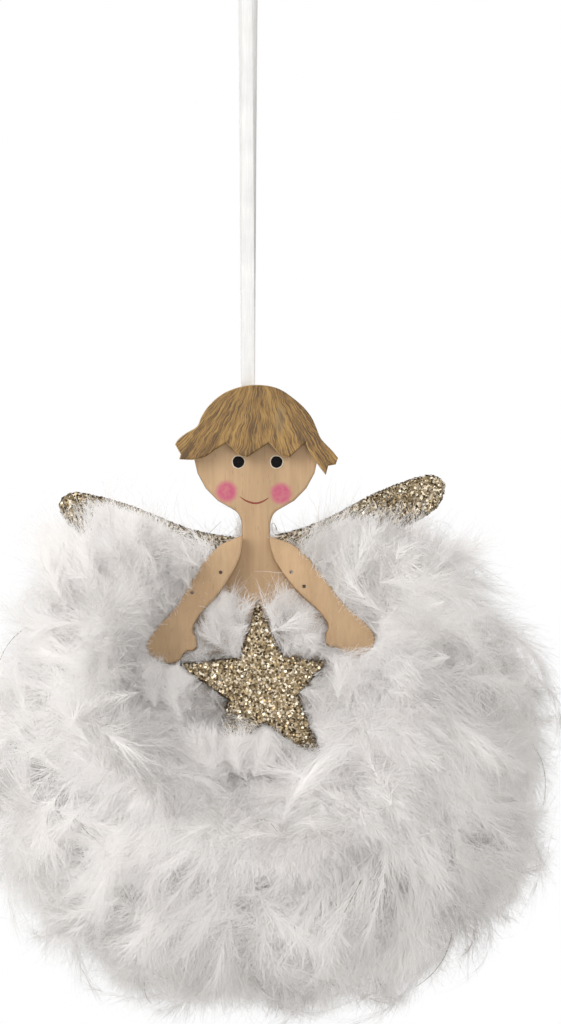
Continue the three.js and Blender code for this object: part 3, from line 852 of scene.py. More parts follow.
def scatter(points, corners, count, rng):
    """Random places on a skin, evenly by area, with their outward normals."""
    start, first, second, cross = spans(points, corners)
    area = np.linalg.norm(cross, axis=1)
    chosen = rng.choice(len(area), size=count, p=area / area.sum())
    u, v = rng.random(count), rng.random(count)
    over = u + v > 1.0
    u[over], v[over] = 1.0 - u[over], 1.0 - v[over]
    return start[chosen] + go(first[chosen], u) + go(second[chosen], v), unit(cross[chosen])


def skin_area(points, corners):
    """Area of a skin."""
    return float(np.linalg.norm(spans(points, corners)[3], axis=1).sum() / 2)


def glitter_coat(settings):
    """Gold undercoat that shows between the flakes."""
    material, tree = new_material("glitter_undercoat")
    cells = add_node(
        tree, "TexVoronoi", {"Vector": object_place(tree), "Scale": 2600.0, "Randomness": 1.0}
    ).outputs
    tone = add_node(tree, "SeparateColor", {0: cells["Color"]}).outputs[0]
    # The undercoat's cells take the same dark-to-pale range, partly painted glints as well
    colour = ramp(tree, tone, [(0.0, settings.bronze), (0.6, settings.gold), (1.0, settings.pale)])
    inputs = {"Base Color": colour, "Metallic": 0.6, "Roughness": 0.45}
    return surface(material, tree, inputs, relief=(cells["Distance"], 0.6, 0.0001))


def flake_finish(name, settings, level):
    """Metal flakes, each of its own brightness and polish, partly painted glints and dark reflections,
    all darkened to a level, which on the wings is painted shade.
    """
    material, tree = new_material(name)
    chance = add_node(tree, "NewGeometry").outputs["Random Per Island"]
    gold = settings.gold
    # Painted glints, in part: each flake takes a random colour from dark bronze to pale gold
    stops = [(0.12, settings.bronze), (0.42, gold), (0.72, gold), (0.95, settings.pale)]
    colour = ramp(tree, chance, stops)
    polish = math_node(tree, "FRACT", math_node(tree, "MULTIPLY", chance, 37.0))
    inputs = {
        "Base Color": blend_colours(tree, 1.0, colour, (level, level, level, 1.0), "MULTIPLY"),
        "Metallic": 0.85,
        "Roughness": map_range(tree, polish, 0.0, 1.0, 0.2, 0.45),
    }
    return surface(material, tree, inputs)


class ORNAMENT_OT_glitter(bpy.types.Operator):
    """Loose gold flakes all over the star and the wings"""

    bl_idname = "ornament.glitter"
    bl_label = "Glitter"

    SEED = 40
    CORNERS = 6
    TILT = 0.27
    SIZES = (0.65, 1.35)
    HEIGHTS_MM = (0.02, 0.14)

    def execute(self, context):
        settings = context.scene.ornament.glitter
        coat = glitter_coat(settings)
        # The wings' flakes are darkened by their level as painted shade
        for number, (node_name, level) in enumerate((("star", 1.0), ("wing_plate", settings.wing_painted_shade))):
            dress_node(node_name, coat)
            flakes = flake_finish(f"{node_name}_flakes", settings, level)
            self.flakes(node_name, flakes, settings, np.random.default_rng(self.SEED + number))
        return {"FINISHED"}

    def flakes(self, node_name, material, settings, rng):
        """Six-sided flakes, each tilted its own way."""
        points, corners = skin_of(node_name)
        count = int(skin_area(points, corners) / MM**2 * settings.density)
        places, normals = scatter(points, corners, count, rng)
        tilted = strewn(rng, normals, self.TILT, count)
        first = unit(np.cross(tilted, rng.normal(0.0, 1.0, (count, 3))))
        second = np.cross(tilted, first)
        radius = settings.radius * rng.uniform(*self.SIZES, count)
        centre = places + go(normals, rng.uniform(*self.HEIGHTS_MM, count) * MM)
        rings = circles(centre, first, second, radius, self.CORNERS).reshape(-1, 3)
        faces = np.arange(len(rings)).reshape(-1, self.CORNERS)
        mesh = face_mesh(f"{node_name}_flakes", rings, faces, smooth=False)
        add_piece(f"{node_name}_flakes", mesh, [material], "fairy")


def down_finish(settings):
    """White down: soft, slightly see-through, duller in places."""
    material, tree = new_material("marabou_down")
    where = object_place(tree)
    patches = noise(tree, where, scale=75.0)
    fine = noise(tree, where, scale=900.0, detail=2.0)
    level = map_range(tree, math_node(tree, "MULTIPLY_ADD", fine, 0.4, patches), 0.45, 0.95)
    colour = blend_colours(tree, level, rgba(settings.shade), rgba(settings.colour))
    front = add_node(tree, "BsdfDiffuse", {"Color": colour}).outputs[0]
    through = add_node(tree, "BsdfTranslucent", {"Color": colour}).outputs[0]
    barb = add_node(tree, "MixShader", {0: settings.glow, 1: front, 2: through}).outputs[0]
    lamp_ray = add_node(tree, "LightPath").outputs["Is Shadow Ray"]
    airy = math_node(tree, "MULTIPLY", lamp_ray, settings.airy)
    clear = add_node(tree, "BsdfTransparent").outputs[0]
    finish_material(tree, add_node(tree, "MixShader", {0: airy, 1: barb, 2: clear}).outputs[0])
    return material


def string_finish(settings):
    """Cotton string under the feathers."""
    material, tree = new_material("boa_string_twist")
    fibres = noise(tree, object_place(tree), scale=2400.0, detail=4.0)
    colour = blend_colours(tree, fibres, rgba(settings.string_dark), rgba(settings.string_light))
    inputs = {"Base Color": colour, "Roughness": 0.85}
    return surface(material, tree, inputs, relief=(fibres, 0.4, 0.00008))


def curve_at(shafts, s):
    """Places and directions on quadratic shafts (n, 3, 3) at shares s (n, m)."""
    a, b, c = (shafts[:, k][:, None] for k in range(3))
    t = s[..., None]
    place = a * (1 - t) ** 2 + b * 2 * t * (1 - t) + c * t**2
    direction = (b - a) * 2 * (1 - t) + (c - b) * 2 * t
    return place, unit(direction)


def strip_rails(paths, facing, widths):
    """Both edges of flat strips along paths (n, k, 3), turned to facing (n, 3)."""
    along = unit(np.gradient(paths, axis=1))
    across = unit(np.cross(along, facing[:, None]))
    half = across * (widths / 2)[..., None]
    return np.stack([paths - half, paths + half], 2)


def strip_mesh(name, rails, normals):
    """A mesh of loose strips from rails (n, k, 2, 3), each shaded as if turned to its normal (n, 3)."""
    count, steps = rails.shape[:2]
    start = np.arange(count)[:, None] * steps * 2 + np.arange(steps - 1)[None] * 2
    quads = np.stack([start, start + 1, start + 3, start + 2], -1).reshape(-1, 4)
    bent = np.repeat(normals, steps * 2, axis=0).astype(np.float32)
    return face_mesh(name, rails.reshape(-1, 3), quads, normals=bent)


def shorten(paths, kept):
    """Paths (n, steps, 3) that run over only the kept share of their way."""
    steps = paths.shape[1]
    t = np.linspace(0.0, 1.0, steps)[None] * kept[:, None] * (steps - 1)
    k = np.minimum(t.astype(int), steps - 2)
    row = np.arange(len(paths))[:, None]
    part = (t - k)[..., None]
    return paths[row, k] * (1 - part) + paths[row, k + 1] * part


class ORNAMENT_OT_feathers(bpy.types.Operator):
    """Feather boa: its twisted string, the plumes, their quills and the loose wisps"""

    bl_idname = "ornament.feathers"
    bl_label = "Feathers"

    # Places of the figure, the star and the skirt, and the skirt's round form
    FIGURE = np.array([0.00175, 0.0, -0.1236])
    STAR = np.array([0.003, -0.003, -0.1555])
    MIDDLE = np.array([0.0037, -0.004, -0.1705])
    HALVES = np.array([0.0575, 0.041, 0.051])
    FULLNESS = 2.3
    GROUPS = 24

    # How far plumes may reach, as shares of the skirt's form
    SNUG = 1.02
    WISPY = 1.11
    FREE = 1.3
    RAGGED = 0.025
    SHORTEST = 0.3

    # Map of the plates as the camera sees them: its plane, lower left corner and cells
    MAP_PLANE = -0.003
    MAP_LOW = np.array([-0.05, -0.18])
    MAP_CELLS = np.array([260, 235])
    MAP_CELL = 0.0004
    NOTHING = -1.0
    BLUR = 0.00035

    # Shares of barbs: below the first a plate counts as bare, the second may lie on the band round it
    BARE = 0.05
    BAND_COVER = 0.06

    # For each plate, the x that parts it, then (height, share of barbs that may lie over it below that
    # height) on its left and on its right
    COVER = {
        "star": (0.00175, ((-0.1655, 0.75), (-0.1605, 0.35)), ((-0.1685, 0.15),)),
        "left_arm": (-0.0175, ((-0.148, 0.55),), ((-0.1515, 0.55),)),
        "right_arm": (0.0, (), ((-0.1495, 0.9), (-0.1465, 0.4))),
    }
    # The dress is covered below its neckline, which rises to both sides, and less and less above it
    NECKLINE = -0.139
    NECKLINE_RISE = 0.5
    NECKLINE_HALF = 0.012
    CHEST_FADE = 0.011
    CHEST_COVER = 0.6

    # Along x: share of the barbs that a wing keeps near its tips, and the depth at which its veil is full
    WING_TIPS = ((-0.0355, -0.033, 0.024, 0.036), (0.3, 1.0, 1.0, 0.3))
    WING_VEIL = ((-0.023, -0.017, -0.009, 0.002), (0.0016, 0.007, 0.007, 0.005))
    # Above the right wing's inner part a few barbs stand free, elsewhere hardly any
    FREE_SPAN = (0.009, 0.026)
    FEW = 0.18
    HARDLY_ANY = 0.05

    # The short plumes in front of each hand and of the star's foot: lowest and highest x, y, z and count
    LOWER = (
        (-0.024, -0.012, -0.015, -0.158, 14),
        (0.017, 0.029, -0.02, -0.157, 16),
        (-0.012, 0.003, -0.02, -0.1735, 24),
    )
    # Each arm's side, and x of its shoulder and of its wrist
    ARMS = ((-1.0, -0.0035, -0.0175), (1.0, 0.007, 0.0205))

    def execute(self, context):
        settings = context.scene.ornament.feathers
        rng = np.random.default_rng(settings.seed)
        self.down = down_finish(settings)
        self.string(settings)
        self.eye = np.array(eye_of(context.scene.ornament.stage)[1])
        self.map_plates()
        self.skin = solid_of("boa_plumage")
        places, normals = self.spread(settings, rng)
        coat = self.coat(settings, places, normals, rng)
        made = [
            coat,
            self.lap_shafts(rng, count=620),
            self.lower_shafts(rng),
            self.arm_shafts(rng, count=70),
            self.dress_shafts(rng, count=520, y=-0.0012, side=-1.0, top=-0.1315),
            self.dress_shafts(rng, count=120, y=0.0068, side=1.0, top=-0.157),
            self.wing_shafts(rng, count=120),
            self.veil_shafts(rng, count=46),
        ]
        self.plumes(settings, *join(made), rng)
        self.wisps(settings, places, normals, rng)
        self.quills(settings, coat[0], coat[1], rng)
        return {"FINISHED"}

    def string(self, settings):
        """Two twisted plies that wind round the dress under the feathers."""
        turns, top, pitch = 5, -0.020, 0.0094
        radius, run, middle, turn_steps = 0.0026, 0.034, 0.0019, 120
        ply_pitch, ply_offset, ply_radius, ply_corners = 0.004, 0.00034, 0.00044, 10
        half_lap = run + math.pi * radius
        count = turns * turn_steps
        route = []
        for i in range(count + 1):
            t = i / count
            place = (t * turns * 2 * half_lap + run / 2) % (2 * half_lap)
            way = 1.0 if place < half_lap else -1.0
            gone = place if place < half_lap else place - half_lap
            angle = max(gone - run, 0.0) / radius
            x = way * (min(gone, run) - run / 2 + radius * math.sin(angle))
            route.append((x, middle + way * radius * math.cos(angle), top - pitch * turns * t))
        route = np.array(route) + self.FIGURE
        tangent = unit(np.gradient(route, axis=0))
        across = unit(np.cross(tangent, np.array([0.0, 0.0, 1.0])))
        up = np.cross(across, tangent)
        cotton = string_finish(settings)
        for ply in range(2):
            name = f"boa_string_{ply + 1}"
            twist = run_along(route) / ply_pitch * FULL_TURN + ply * math.pi
            centre = route + (go(across, np.cos(twist)) + go(up, np.sin(twist))) * ply_offset
            mesh = grid_mesh(name, circles(centre, across, up, ply_radius, ply_corners))
            add_piece(name, mesh, [cotton], "fairy", ["boa_cord"] if ply == 0 else [])

    def map_plates(self):
        """A map, seen from the camera, of the plates that the feathers leave in view."""
        names = ("hair_plate", "left_arm", "right_arm", "star", "body_plate", "wing_plate", *ARM_PINS)
        plates = {name: solid_of(name) for name in names}
        eye = Vector(self.eye)
        owner = np.full(self.MAP_CELLS, "", dtype=object)
        self.allow = np.ones(self.MAP_CELLS)
        self.behind = np.full(self.MAP_CELLS, self.NOTHING)
        for i, k in np.ndindex(*self.MAP_CELLS):
            x, z = self.MAP_LOW + (np.array([i, k]) + 0.5) * self.MAP_CELL
            ray = (Vector((x, self.MAP_PLANE, z)) - eye).normalized()
            hits = [(plate.ray_cast(eye, ray), name) for name, plate in plates.items()]
            hits = [(hit[3], name, hit[0]) for hit, name in hits if hit[0] is not None]
            if hits:
                _, name, spot = min(hits, key=lambda found: found[0])
                owner[i, k] = name
                self.allow[i, k] = self.cover(name, spot)
                self.behind[i, k] = spot.y
        for name in ("left_arm", "right_arm", "star"):
            self.clear_edge((owner == name) & (self.allow < self.BARE))
        self.on_wing = owner == "wing_plate"
        for i, column in enumerate(self.on_wing):
            if column.any():
                self.veil_wing(i, np.nonzero(column)[0])

    def cover(self, name, spot):
        """Share of the barbs that may lie over a place on a plate."""
        if name == "body_plate":
            aside = min(abs(spot.x - self.FIGURE[0]), self.NECKLINE_HALF)
            above = spot.z - (self.NECKLINE + self.NECKLINE_RISE * aside)
            if above < 0:
                return 1.0
            return self.CHEST_COVER * max(1.0 - above / self.CHEST_FADE, 0.0) ** 2
        if name in self.COVER:
            parted, left, right = self.COVER[name]
            for height, allowed in left if spot.x < parted else right:
                if spot.z < height:
                    return allowed
        return 0.0

    def clear_edge(self, plate):
        """Keeps the barbs in front of a plate off a thin band round its edge."""
        front = self.behind[plate].min()
        for shift in ((1, 0), (-1, 0), (0, 1), (0, -1)):
            band = np.roll(plate, shift, axis=(0, 1)) & ~plate
            self.allow[band] = np.minimum(self.allow[band], self.BAND_COVER)
            self.behind[band] = np.maximum(self.behind[band], front)

    def veil_wing(self, i, wing):
        """Lets more barbs over a wing the lower they are, and hardly any above its upper edge."""
        x = self.MAP_LOW[0] + i * self.MAP_CELL
        below = (wing.max() - wing) * self.MAP_CELL
        veil = np.clip(below / np.interp(x, *self.WING_VEIL), 0.15, 0.95)
        self.allow[i, wing] = veil * np.interp(x, *self.WING_TIPS)
        bare = np.nonzero(self.behind[i] < self.NOTHING + 0.1)[0]
        bare = bare[bare > wing.max()]
        self.allow[i, bare] = self.FEW if self.FREE_SPAN[0] < x < self.FREE_SPAN[1] else self.HARDLY_ANY
        self.behind[i, bare] = -self.NOTHING

    def spread(self, settings, rng):
        """Evenly spaced plume places on the outer skin of the CAD plumage."""
        tries, lift, clear_by = 9000, 0.0006, 0.026
        places, normals = scatter(*skin_of("boa_plumage"), tries, rng)
        kept = []
        spots = np.empty((0, 3))
        for i, (place, normal) in enumerate(zip(places, normals)):
            if len(spots) and np.min(np.sum((spots - place) ** 2, 1)) < settings.spacing**2:
                continue
            if self.skin.ray_cast(Vector(place + normal * lift), Vector(normal), clear_by)[0] is not None:
                continue
            kept.append(i)
            spots = np.vstack([spots, place])
        return places[kept], normals[kept]

    @staticmethod
    def swirl(places):
        """A slow field of directions, so that neighbouring plumes lie alike."""
        wave, finer = 0.055, 0.6
        x, y, z = (places * (FULL_TURN / wave)).T
        return np.stack(
            [
                np.sin(1.1 * z + 0.7 * y + 0.4) + finer * np.sin(2.1 * x + 1.3),
                np.sin(1.3 * x - 0.8 * z + 2.1) + finer * np.sin(1.9 * y + 0.2),
                np.sin(0.9 * y + 1.2 * x + 4.0) + finer * np.sin(2.3 * z + 2.7),
            ],
            1,
        )

    @staticmethod
    def bundle(points, lean, length, limit):
        """Shafts through three points each, with their lifts, lengths and limits of reach."""
        return np.stack(points, 1), lean, length, np.full(len(length), limit)

    def coat(self, settings, places, normals, rng):
        """Plumes that lie along the skin, combed away from the star, with deep ones in between."""
        count = len(places)
        deep_share, droop, side_height, front_lean = 0.34, 0.2, 0.013, 0.35
        away = places - self.STAR
        away[:, 1] = 0.0
        comb = unit(away) * 0.75 + self.swirl(places) * 0.5 + rng.normal(0.0, 0.3, places.shape)
        comb[:, 2] -= droop
        deep = rng.random(count) < deep_share
        comb[deep] = rng.normal(0.0, 1.0, (deep.sum(), 3))
        comb = unit(comb - normals * np.sum(comb * normals, 1, keepdims=True))
        length = settings.plume * rng.uniform(0.75, 1.1, count)
        edge = 1.0 - np.abs(normals[:, 1])
        height = rng.uniform(-0.0035, 0.001, count) + edge * side_height * rng.random(count) ** 1.4
        height[deep] = rng.uniform(-0.006, -0.003, deep.sum())
        under = rng.uniform(0.005, 0.009, count)
        root = places - go(comb, length * 0.25) - go(normals, under)
        bend = places + go(comb, length * 0.2) + go(normals, height + 0.001)
        tip = []
        for far, rise in zip(places + go(comb, length * 0.75), height):
            spot, normal = self.skin.find_nearest(Vector(far))[:2]
            tip.append(spot + normal * rise)
        lean = normals + rng.normal(0, 0.2, normals.shape)
        lean[:, 1] -= np.where(places[:, 1] < 0.008, front_lean, 0.0)
        limit = 1.04 + edge * rng.uniform(-0.04, 0.13, count)
        return self.bundle([root, bend, np.array(tip)], unit(lean), length, limit)

    def lap_shafts(self, rng, count):
        """Plumes that fan out round the hands and the star and slope up to the skirt's front."""
        first_turn, last_turn = -205.0, 25.0
        inner, band, shelf = 0.009, 0.027, 0.0105
        steep, eased = 2.1, 1.0
        turn = np.radians(rng.uniform(first_turn, last_turn, count))
        away = inner + band * np.sqrt(rng.random(count))
        fan = np.stack([np.cos(turn), np.zeros(count), np.sin(turn)], 1)
        place = self.STAR + go(fan, away)
        slope = steep - eased * np.clip(fan[:, 2] - fan[:, 0], 0.0, 1.0)
        place[:, 1] -= slope * np.maximum(away - shelf, 0.0) - rng.uniform(0.0, 0.007, count)
        comb = strewn(rng, fan + np.array([0.0, -0.9, 0.0]) + self.swirl(place) * 0.3, 0.28, count)
        lean = strewn(rng, np.array([0.0, -0.9, 0.2]) + fan * 0.2, 0.15, count)
        length = rng.uniform(0.014, 0.023, count)
        root = place - go(comb, length * 0.35) + np.array([0.0, 0.006, 0.0])
        tip = place + go(comb, length * 0.65) + go(lean, rng.uniform(0.0, 0.002, count))
        return self.bundle([root, place, tip], lean, length, self.SNUG)

    def lower_shafts(self, rng):
        """Short plumes that stand up in front of the lower ends of the hands and the star."""
        made = []
        for low_x, high_x, y, z, count in self.LOWER:
            x = rng.uniform(low_x, high_x, count)
            y = y + rng.normal(0.0, 0.002, count)
            place = np.stack([x, y, z + rng.normal(0.0, 0.0015, count)], 1)
            comb = strewn(rng, (0.0, -0.15, 1.0), 0.3, count, np.sign(x) * 0.3)
            lean = strewn(rng, (0.0, -1.0, 0.2), 0.15, count)
            length = rng.uniform(0.009, 0.012, count)
            bend = place + go(comb, length * 0.3) + lean * 0.001
            tip = place + go(comb, length * 0.6)
            made.append(self.bundle([place, bend, tip], lean, length, self.SNUG))
        return join(made)

    def arm_shafts(self, rng, count):
        """Plumes that come out from behind each arm and sweep up along it."""
        shoulder_z, arm_drop = -0.129, 0.022
        made = []
        for side, shoulder, wrist in self.ARMS:
            t = rng.random(count)
            x = shoulder + (wrist - shoulder) * t
            place = np.stack([x, rng.uniform(0.0, 0.003, count), shoulder_z - arm_drop * t], 1)
            comb = strewn(rng, (side * 0.8, -0.45, 0.55), 0.25, count)
            lean = strewn(rng, (side * 0.4, -0.9, 0.3), 0.15, count)
            length = rng.uniform(0.013, 0.021, count)
            bend = place + go(comb, length * 0.4) + lean * 0.001
            tip = place + go(comb, length * 0.85) + np.array([0.0, 0.0, 0.002])
            made.append(self.bundle([place, bend, tip], lean, length, self.FREE))
        return join(made)

    def dress_shafts(self, rng, count, y, side, top):
        """Short plumes on one side of the dress, swept up near its top and down near its hem."""
        hem, left, right, half = -0.197, -0.0175, 0.0205, 0.02
        x = rng.uniform(left, right, count)
        z = rng.uniform(hem, top, count)
        drop = (top - z) / (top - hem)
        place = np.stack([x, np.full(count, y), z], 1)
        out = strewn(rng, (0.0, side, 0.1), 0.25, count)
        comb = rng.normal(0.0, 0.45, (count, 3))
        comb[:, 0] += (x - self.FIGURE[0]) / half
        comb[:, 1] += side * 0.3
        comb[:, 2] += 0.7 - 1.5 * drop
        length = rng.uniform(0.011, 0.017, count) * (1.0 + 0.5 * drop)
        bend = place + go(out, length * 0.3)
        tip = place + go(unit(comb), length * 0.7) + go(out, length * (0.2 + 0.25 * drop))
        lean = strewn(rng, out, 0.2, count)
        return self.bundle([place, bend, tip], lean, length, self.SNUG)

    def wing_shafts(self, rng, count):
        """Plumes that stand up in front of the wings."""
        left_share, near, far_left, far_right = 0.55, 0.012, 0.041, 0.034
        side = np.where(rng.random(count) < left_share, -1.0, 1.0)
        to_right = rng.uniform(near, far_right, count)
        to_left = rng.uniform(near, far_left, count)
        x = self.FIGURE[0] + side * np.where(side > 0, to_right, to_left)
        y = rng.uniform(-0.014, 0.002, count)
        place = np.stack([x, y, rng.uniform(-0.143, -0.135, count)], 1)
        growth = strewn(rng, (0.0, -0.1, 1.0), 0.22, count, side * 0.35)
        comb = strewn(rng, growth, 0.35, count)
        length = rng.uniform(0.012, 0.018, count)
        bend = place + go(growth, length * 0.5)
        lean = strewn(rng, (0.0, -0.9, 0.3), 0.2, count, side * 0.4)
        return self.bundle([place, bend, bend + go(comb, length * 0.45)], lean, length, self.FREE)

    def veil_shafts(self, rng, count):
        """Upright plumes that veil the left wing as far as its tip."""
        x = rng.uniform(-0.0345, -0.0185, count)
        y = rng.uniform(-0.006, -0.001, count)
        place = np.stack([x, y, rng.uniform(-0.134, -0.126, count)], 1)
        growth = strewn(rng, (0.1, -0.05, 1.0), 0.16, count)
        comb = strewn(rng, growth, 0.25, count)
        length = rng.uniform(0.011, 0.016, count)
        bend = place + go(growth, length * 0.5)
        lean = strewn(rng, (-0.2, -0.9, 0.3), 0.2, count)
        return self.bundle([place, bend, bend + go(comb, length * 0.45)], lean, length, self.FREE)

    def barb_paths(self, shafts, lifts, reach, count, rng, steps=6):
        """Wavy barbs on both sides of each shaft: paths (n*count, steps, 3), facings and normals."""
        shape = (len(shafts), count)
        root_angle, tip_angle = 30.0, 13.0
        loose_share, loose_by = 0.14, 2.1
        shortest, droop, wave_up, wave_side = 0.62, 0.12, 0.07, 0.08
        s = 0.05 + 0.9 * rng.random(shape)
        base, along = curve_at(shafts, s)
        side = unit(np.cross(along, lifts[:, None]))
        up = np.cross(side, along)
        sign = np.where(rng.random(shape) < 0.5, -1.0, 1.0)
        loose = np.where(rng.random(shape) < loose_share, loose_by, 1.0)
        spread = root_angle - (root_angle - tip_angle) * s
        angle = np.radians(spread * rng.uniform(0.2, 1.35, shape) * loose)
        bulge = shortest + (1.0 - shortest) * np.sin(math.pi * (0.15 + 0.7 * s))
        size = reach[:, None] * bulge * rng.uniform(0.55, 1.1, shape)
        start = (
            along * np.cos(angle)[..., None]
            + side * (np.sin(angle) * sign)[..., None]
            + up * rng.normal(0.02, 0.2, shape)[..., None]
        )
        curl = rng.normal(0.0, 0.3, (len(shafts), 1, 3)) + rng.normal(0.0, 0.16, (*shape, 3))
        pull = along * 0.25 + curl - up * 0.1
        pull[..., 2] -= droop
        u = np.linspace(0.0, 1.0, steps)
        wave = rng.random((*shape, 2)) * PHASE
        beat = rng.uniform(2.5, 6.0, shape)
        swing = np.sin(u * beat[..., None] + wave[..., :1]) - np.sin(wave[..., :1])
        shake = np.sin(u * beat[..., None] * 1.3 + wave[..., 1:]) - np.sin(wave[..., 1:])
        paths = (
            start[:, :, None] * u[:, None]
            + pull[:, :, None] * (u**2)[:, None] * 0.5
            + up[:, :, None] * (swing * u * wave_up)[..., None]
            + side[:, :, None] * (shake * u * wave_side)[..., None]
        )
        paths = base[:, :, None] + paths * size[:, :, None, None]
        facing = unit(up + rng.normal(0.0, 0.35, up.shape))
        shading = unit(facing * 0.5 + lifts[:, None] * 0.75)
        return paths.reshape(-1, steps, 3), facing.reshape(-1, 3), shading.reshape(-1, 3)

    def within(self, paths, limits, rng):
        """Barbs cut short where they leave the skirt's round form, and which of them are left."""
        steps = paths.shape[1]
        out = (np.abs((paths - self.MIDDLE) / self.HALVES) ** self.FULLNESS).sum(2) ** (1 / self.FULLNESS)
        most = limits + rng.normal(0.0, self.RAGGED, len(paths))
        over = out > most[:, None]
        first = np.clip(over.argmax(1), 1, steps - 1)
        row = np.arange(len(paths))
        low, high = out[row, first - 1], out[row, first]
        kept = (first - 1 + (most - low) / np.maximum(high - low, 1e-6)) / (steps - 1)
        kept = np.where(over.any(1), np.clip(kept, 0.0, 1.0), 1.0)
        return shorten(paths, kept), kept > self.SHORTEST

    def cleared(self, paths, rng):
        """Barbs cut short where they would hide a plate, and which of them are left."""
        root_chance, back_off = 0.8, 0.95
        count, steps = paths.shape[:2]
        nearer = (self.MAP_PLANE - self.eye[1]) / (paths[..., 1] - self.eye[1])
        spots = self.eye[[0, 2]] + (paths[..., [0, 2]] - self.eye[[0, 2]]) * nearer[..., None]
        spots += rng.normal(0.0, self.BLUR, (count, 1, 2))
        cells = np.floor((spots - self.MAP_LOW) / self.MAP_CELL).astype(int)
        on_map = np.all((cells >= 0) & (cells < self.MAP_CELLS), axis=2)
        i, k = np.clip(cells, 0, self.MAP_CELLS - 1).transpose(2, 0, 1)
        chance = np.repeat(rng.random((count, 1)), steps, axis=1)
        chance[:, 0] = np.where(self.on_wing[i[:, 0], k[:, 0]], chance[:, 0], root_chance)
        hides = on_map & (paths[..., 1] < self.behind[i, k]) & (chance > self.allow[i, k])
        first = np.where(hides.any(1), hides.argmax(1), steps)
        kept = np.where(first < steps, np.maximum(first - back_off, 0.0) / (steps - 1), 1.0)
        return shorten(paths, kept), kept > self.SHORTEST

    def add_strips(self, name, paths, facing, shading, width, taper, hides=()):
        """Adds strips as a piece of down."""
        steps = paths.shape[1]
        widths = width[:, None] * (1.0 - taper * np.linspace(0.0, 1.0, steps))[None]
        mesh = strip_mesh(name, strip_rails(paths, facing, widths), shading)
        add_piece(name, mesh, [self.down], "fairy", hides)

    def plumes(self, settings, shafts, lifts, lengths, limits, rng):
        """The plumes, in groups round the skirt."""
        taper = 0.72
        middle = shafts[:, 2].mean(0)
        turn = np.arctan2(shafts[:, 2, 1] - middle[1], shafts[:, 2, 0] - middle[0])
        reach = settings.barb_length * np.clip(lengths / settings.plume, 0.5, 1.0)
        for number, chosen in enumerate(np.array_split(np.argsort(turn), self.GROUPS)):
            paths, facing, shading = self.barb_paths(
                shafts[chosen], lifts[chosen], reach[chosen], settings.barbs, rng
            )
            paths, inside = self.within(paths, np.repeat(limits[chosen], settings.barbs), rng)
            paths, clear = self.cleared(paths, rng)
            keep = inside & clear
            width = settings.barb_width * rng.uniform(0.6, 1.25, keep.sum())
            hides = ["boa_plumage"] if number == 0 else []
            name = f"plumes_{number + 1:02d}"
            self.add_strips(name, paths[keep], facing[keep], shading[keep], width, taper, hides)

    def wisps(self, settings, places, normals, rng):
        """Fine single strands that stand out of the skirt."""
        count, steps, taper = settings.wisps, 7, 0.6
        sunk, droop, beat, wave = 0.004, 0.15, 6.0, 0.06
        chosen = rng.integers(0, len(places), count)
        base = places[chosen] + rng.normal(0.0, 0.003, (count, 3)) - normals[chosen] * sunk
        start = strewn(rng, normals[chosen], 0.5, count)
        bend = rng.normal(0.0, 0.45, base.shape)
        bend[:, 2] -= droop
        size = rng.uniform(0.008, 0.016, count)
        u = np.linspace(0.0, 1.0, steps)
        phase = rng.random(count) * PHASE
        side = unit(np.cross(start, rng.normal(0.0, 1.0, base.shape)))
        swing = np.sin(u[None] * beat + phase[:, None]) - np.sin(phase)[:, None]
        paths = (
            start[:, None] * u[None, :, None]
            + bend[:, None] * (u**2)[None, :, None] * 0.5
            + side[:, None] * (swing * u * wave)[..., None]
        )
        paths = base[:, None] + paths * size[:, None, None]
        paths, inside = self.within(paths, np.full(count, self.WISPY), rng)
        paths, clear = self.cleared(paths, rng)
        paths = paths[inside & clear]
        facing = unit(rng.normal(0.0, 1.0, (len(paths), 3)))
        width = settings.barb_width * rng.uniform(0.4, 0.8, len(paths))
        self.add_strips("wisps", paths, facing, facing, width, taper)

    def quills(self, settings, shafts, lifts, rng):
        """The bare shafts of some plumes, thin and brownish."""
        one_in, steps, corners = 24, 12, 4
        thick, thin = 0.00013, 0.00004
        chosen = rng.choice(len(shafts), size=len(shafts) // one_in, replace=False)
        horn = paint_finish("quill_horn", settings.quill, 0.45, 0.5)
        s = np.tile(np.linspace(0.35, 0.95, steps), (len(chosen), 1))
        place, along = curve_at(shafts[chosen], s)
        side = unit(np.cross(along, lifts[chosen][:, None]))
        up = np.cross(side, along)
        tubes = circles(place, side, up, np.linspace(thick, thin, steps), corners)
        starts = np.arange(len(chosen)) * steps * corners
        faces = grid_quads(steps, corners, closed=True)[None] + starts[:, None, None]
        mesh = face_mesh("quills", tubes.reshape(-1, 3), faces.reshape(-1, 4))
        add_piece("quills", mesh, [horn], "fairy")


class ORNAMENT_PT_dressing(bpy.types.Panel):
    """Sizes, colours and pieces of the ornament"""

    bl_label = "Fairy ornament"
    bl_space_type = "VIEW_3D"
    bl_region_type = "UI"
    bl_category = "Ornament"

    def draw(self, context):
        ornament = context.scene.ornament
        for operator, group in PIECES:
            box = self.layout.box()
            box.operator(operator.bl_idname)
            settings = getattr(ornament, group)
            for key in settings.bl_rna.properties.keys():
                if key not in ("rna_type", "name"):
                    box.prop(settings, key)


PIECES = (
    (ORNAMENT_OT_stage, "stage"),
    (ORNAMENT_OT_ribbon, "ribbon"),
    (ORNAMENT_OT_wood, "wood"),
    (ORNAMENT_OT_face, "face"),
    (ORNAMENT_OT_glitter, "glitter"),
    (ORNAMENT_OT_feathers, "feathers"),
)
CLASSES = (
    StageSettings,
    RibbonSettings,
    WoodSettings,
    FaceSettings,
    GlitterSettings,
    FeatherSettings,
    OrnamentSettings,
    *(operator for operator, _ in PIECES),
    ORNAMENT_PT_dressing,
)


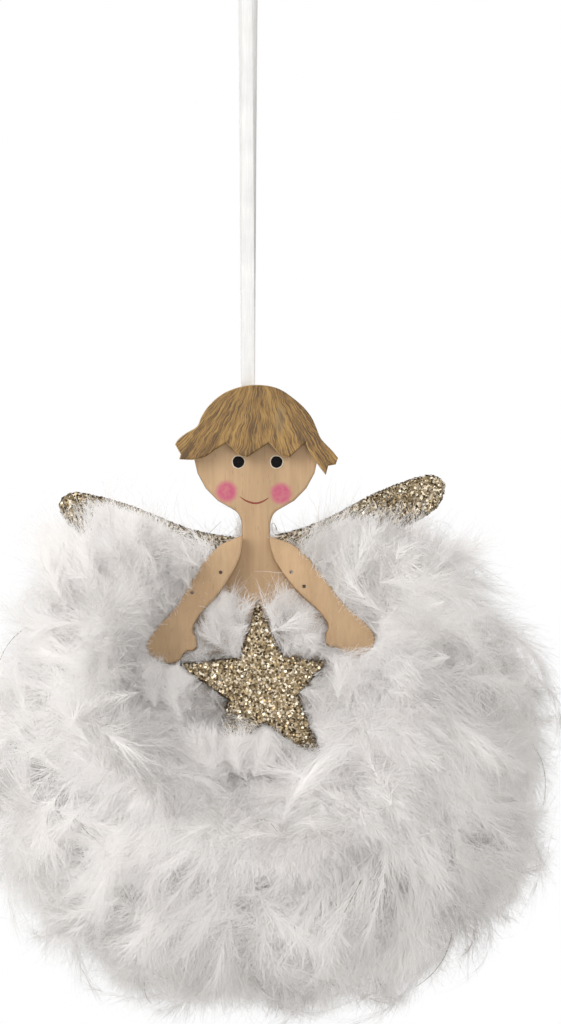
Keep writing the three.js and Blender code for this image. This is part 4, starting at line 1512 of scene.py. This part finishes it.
def register():
    """Adds the classes and the settings to Blender."""
    for cls in CLASSES:
        bpy.utils.register_class(cls)
    bpy.types.Scene.ornament = PointerProperty(type=OrnamentSettings)


def unregister():
    """Takes them out again."""
    del bpy.types.Scene.ornament
    for cls in reversed(CLASSES):
        bpy.utils.unregister_class(cls)


def main():
    """Makes every piece in order."""
    register()
    bpy.ops.ornament.stage()
    bpy.ops.ornament.ribbon()
    bpy.ops.ornament.wood()
    bpy.ops.ornament.face()
    bpy.ops.ornament.glitter()
    bpy.ops.ornament.feathers()
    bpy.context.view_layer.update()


if __name__ == "__main__":
    main()
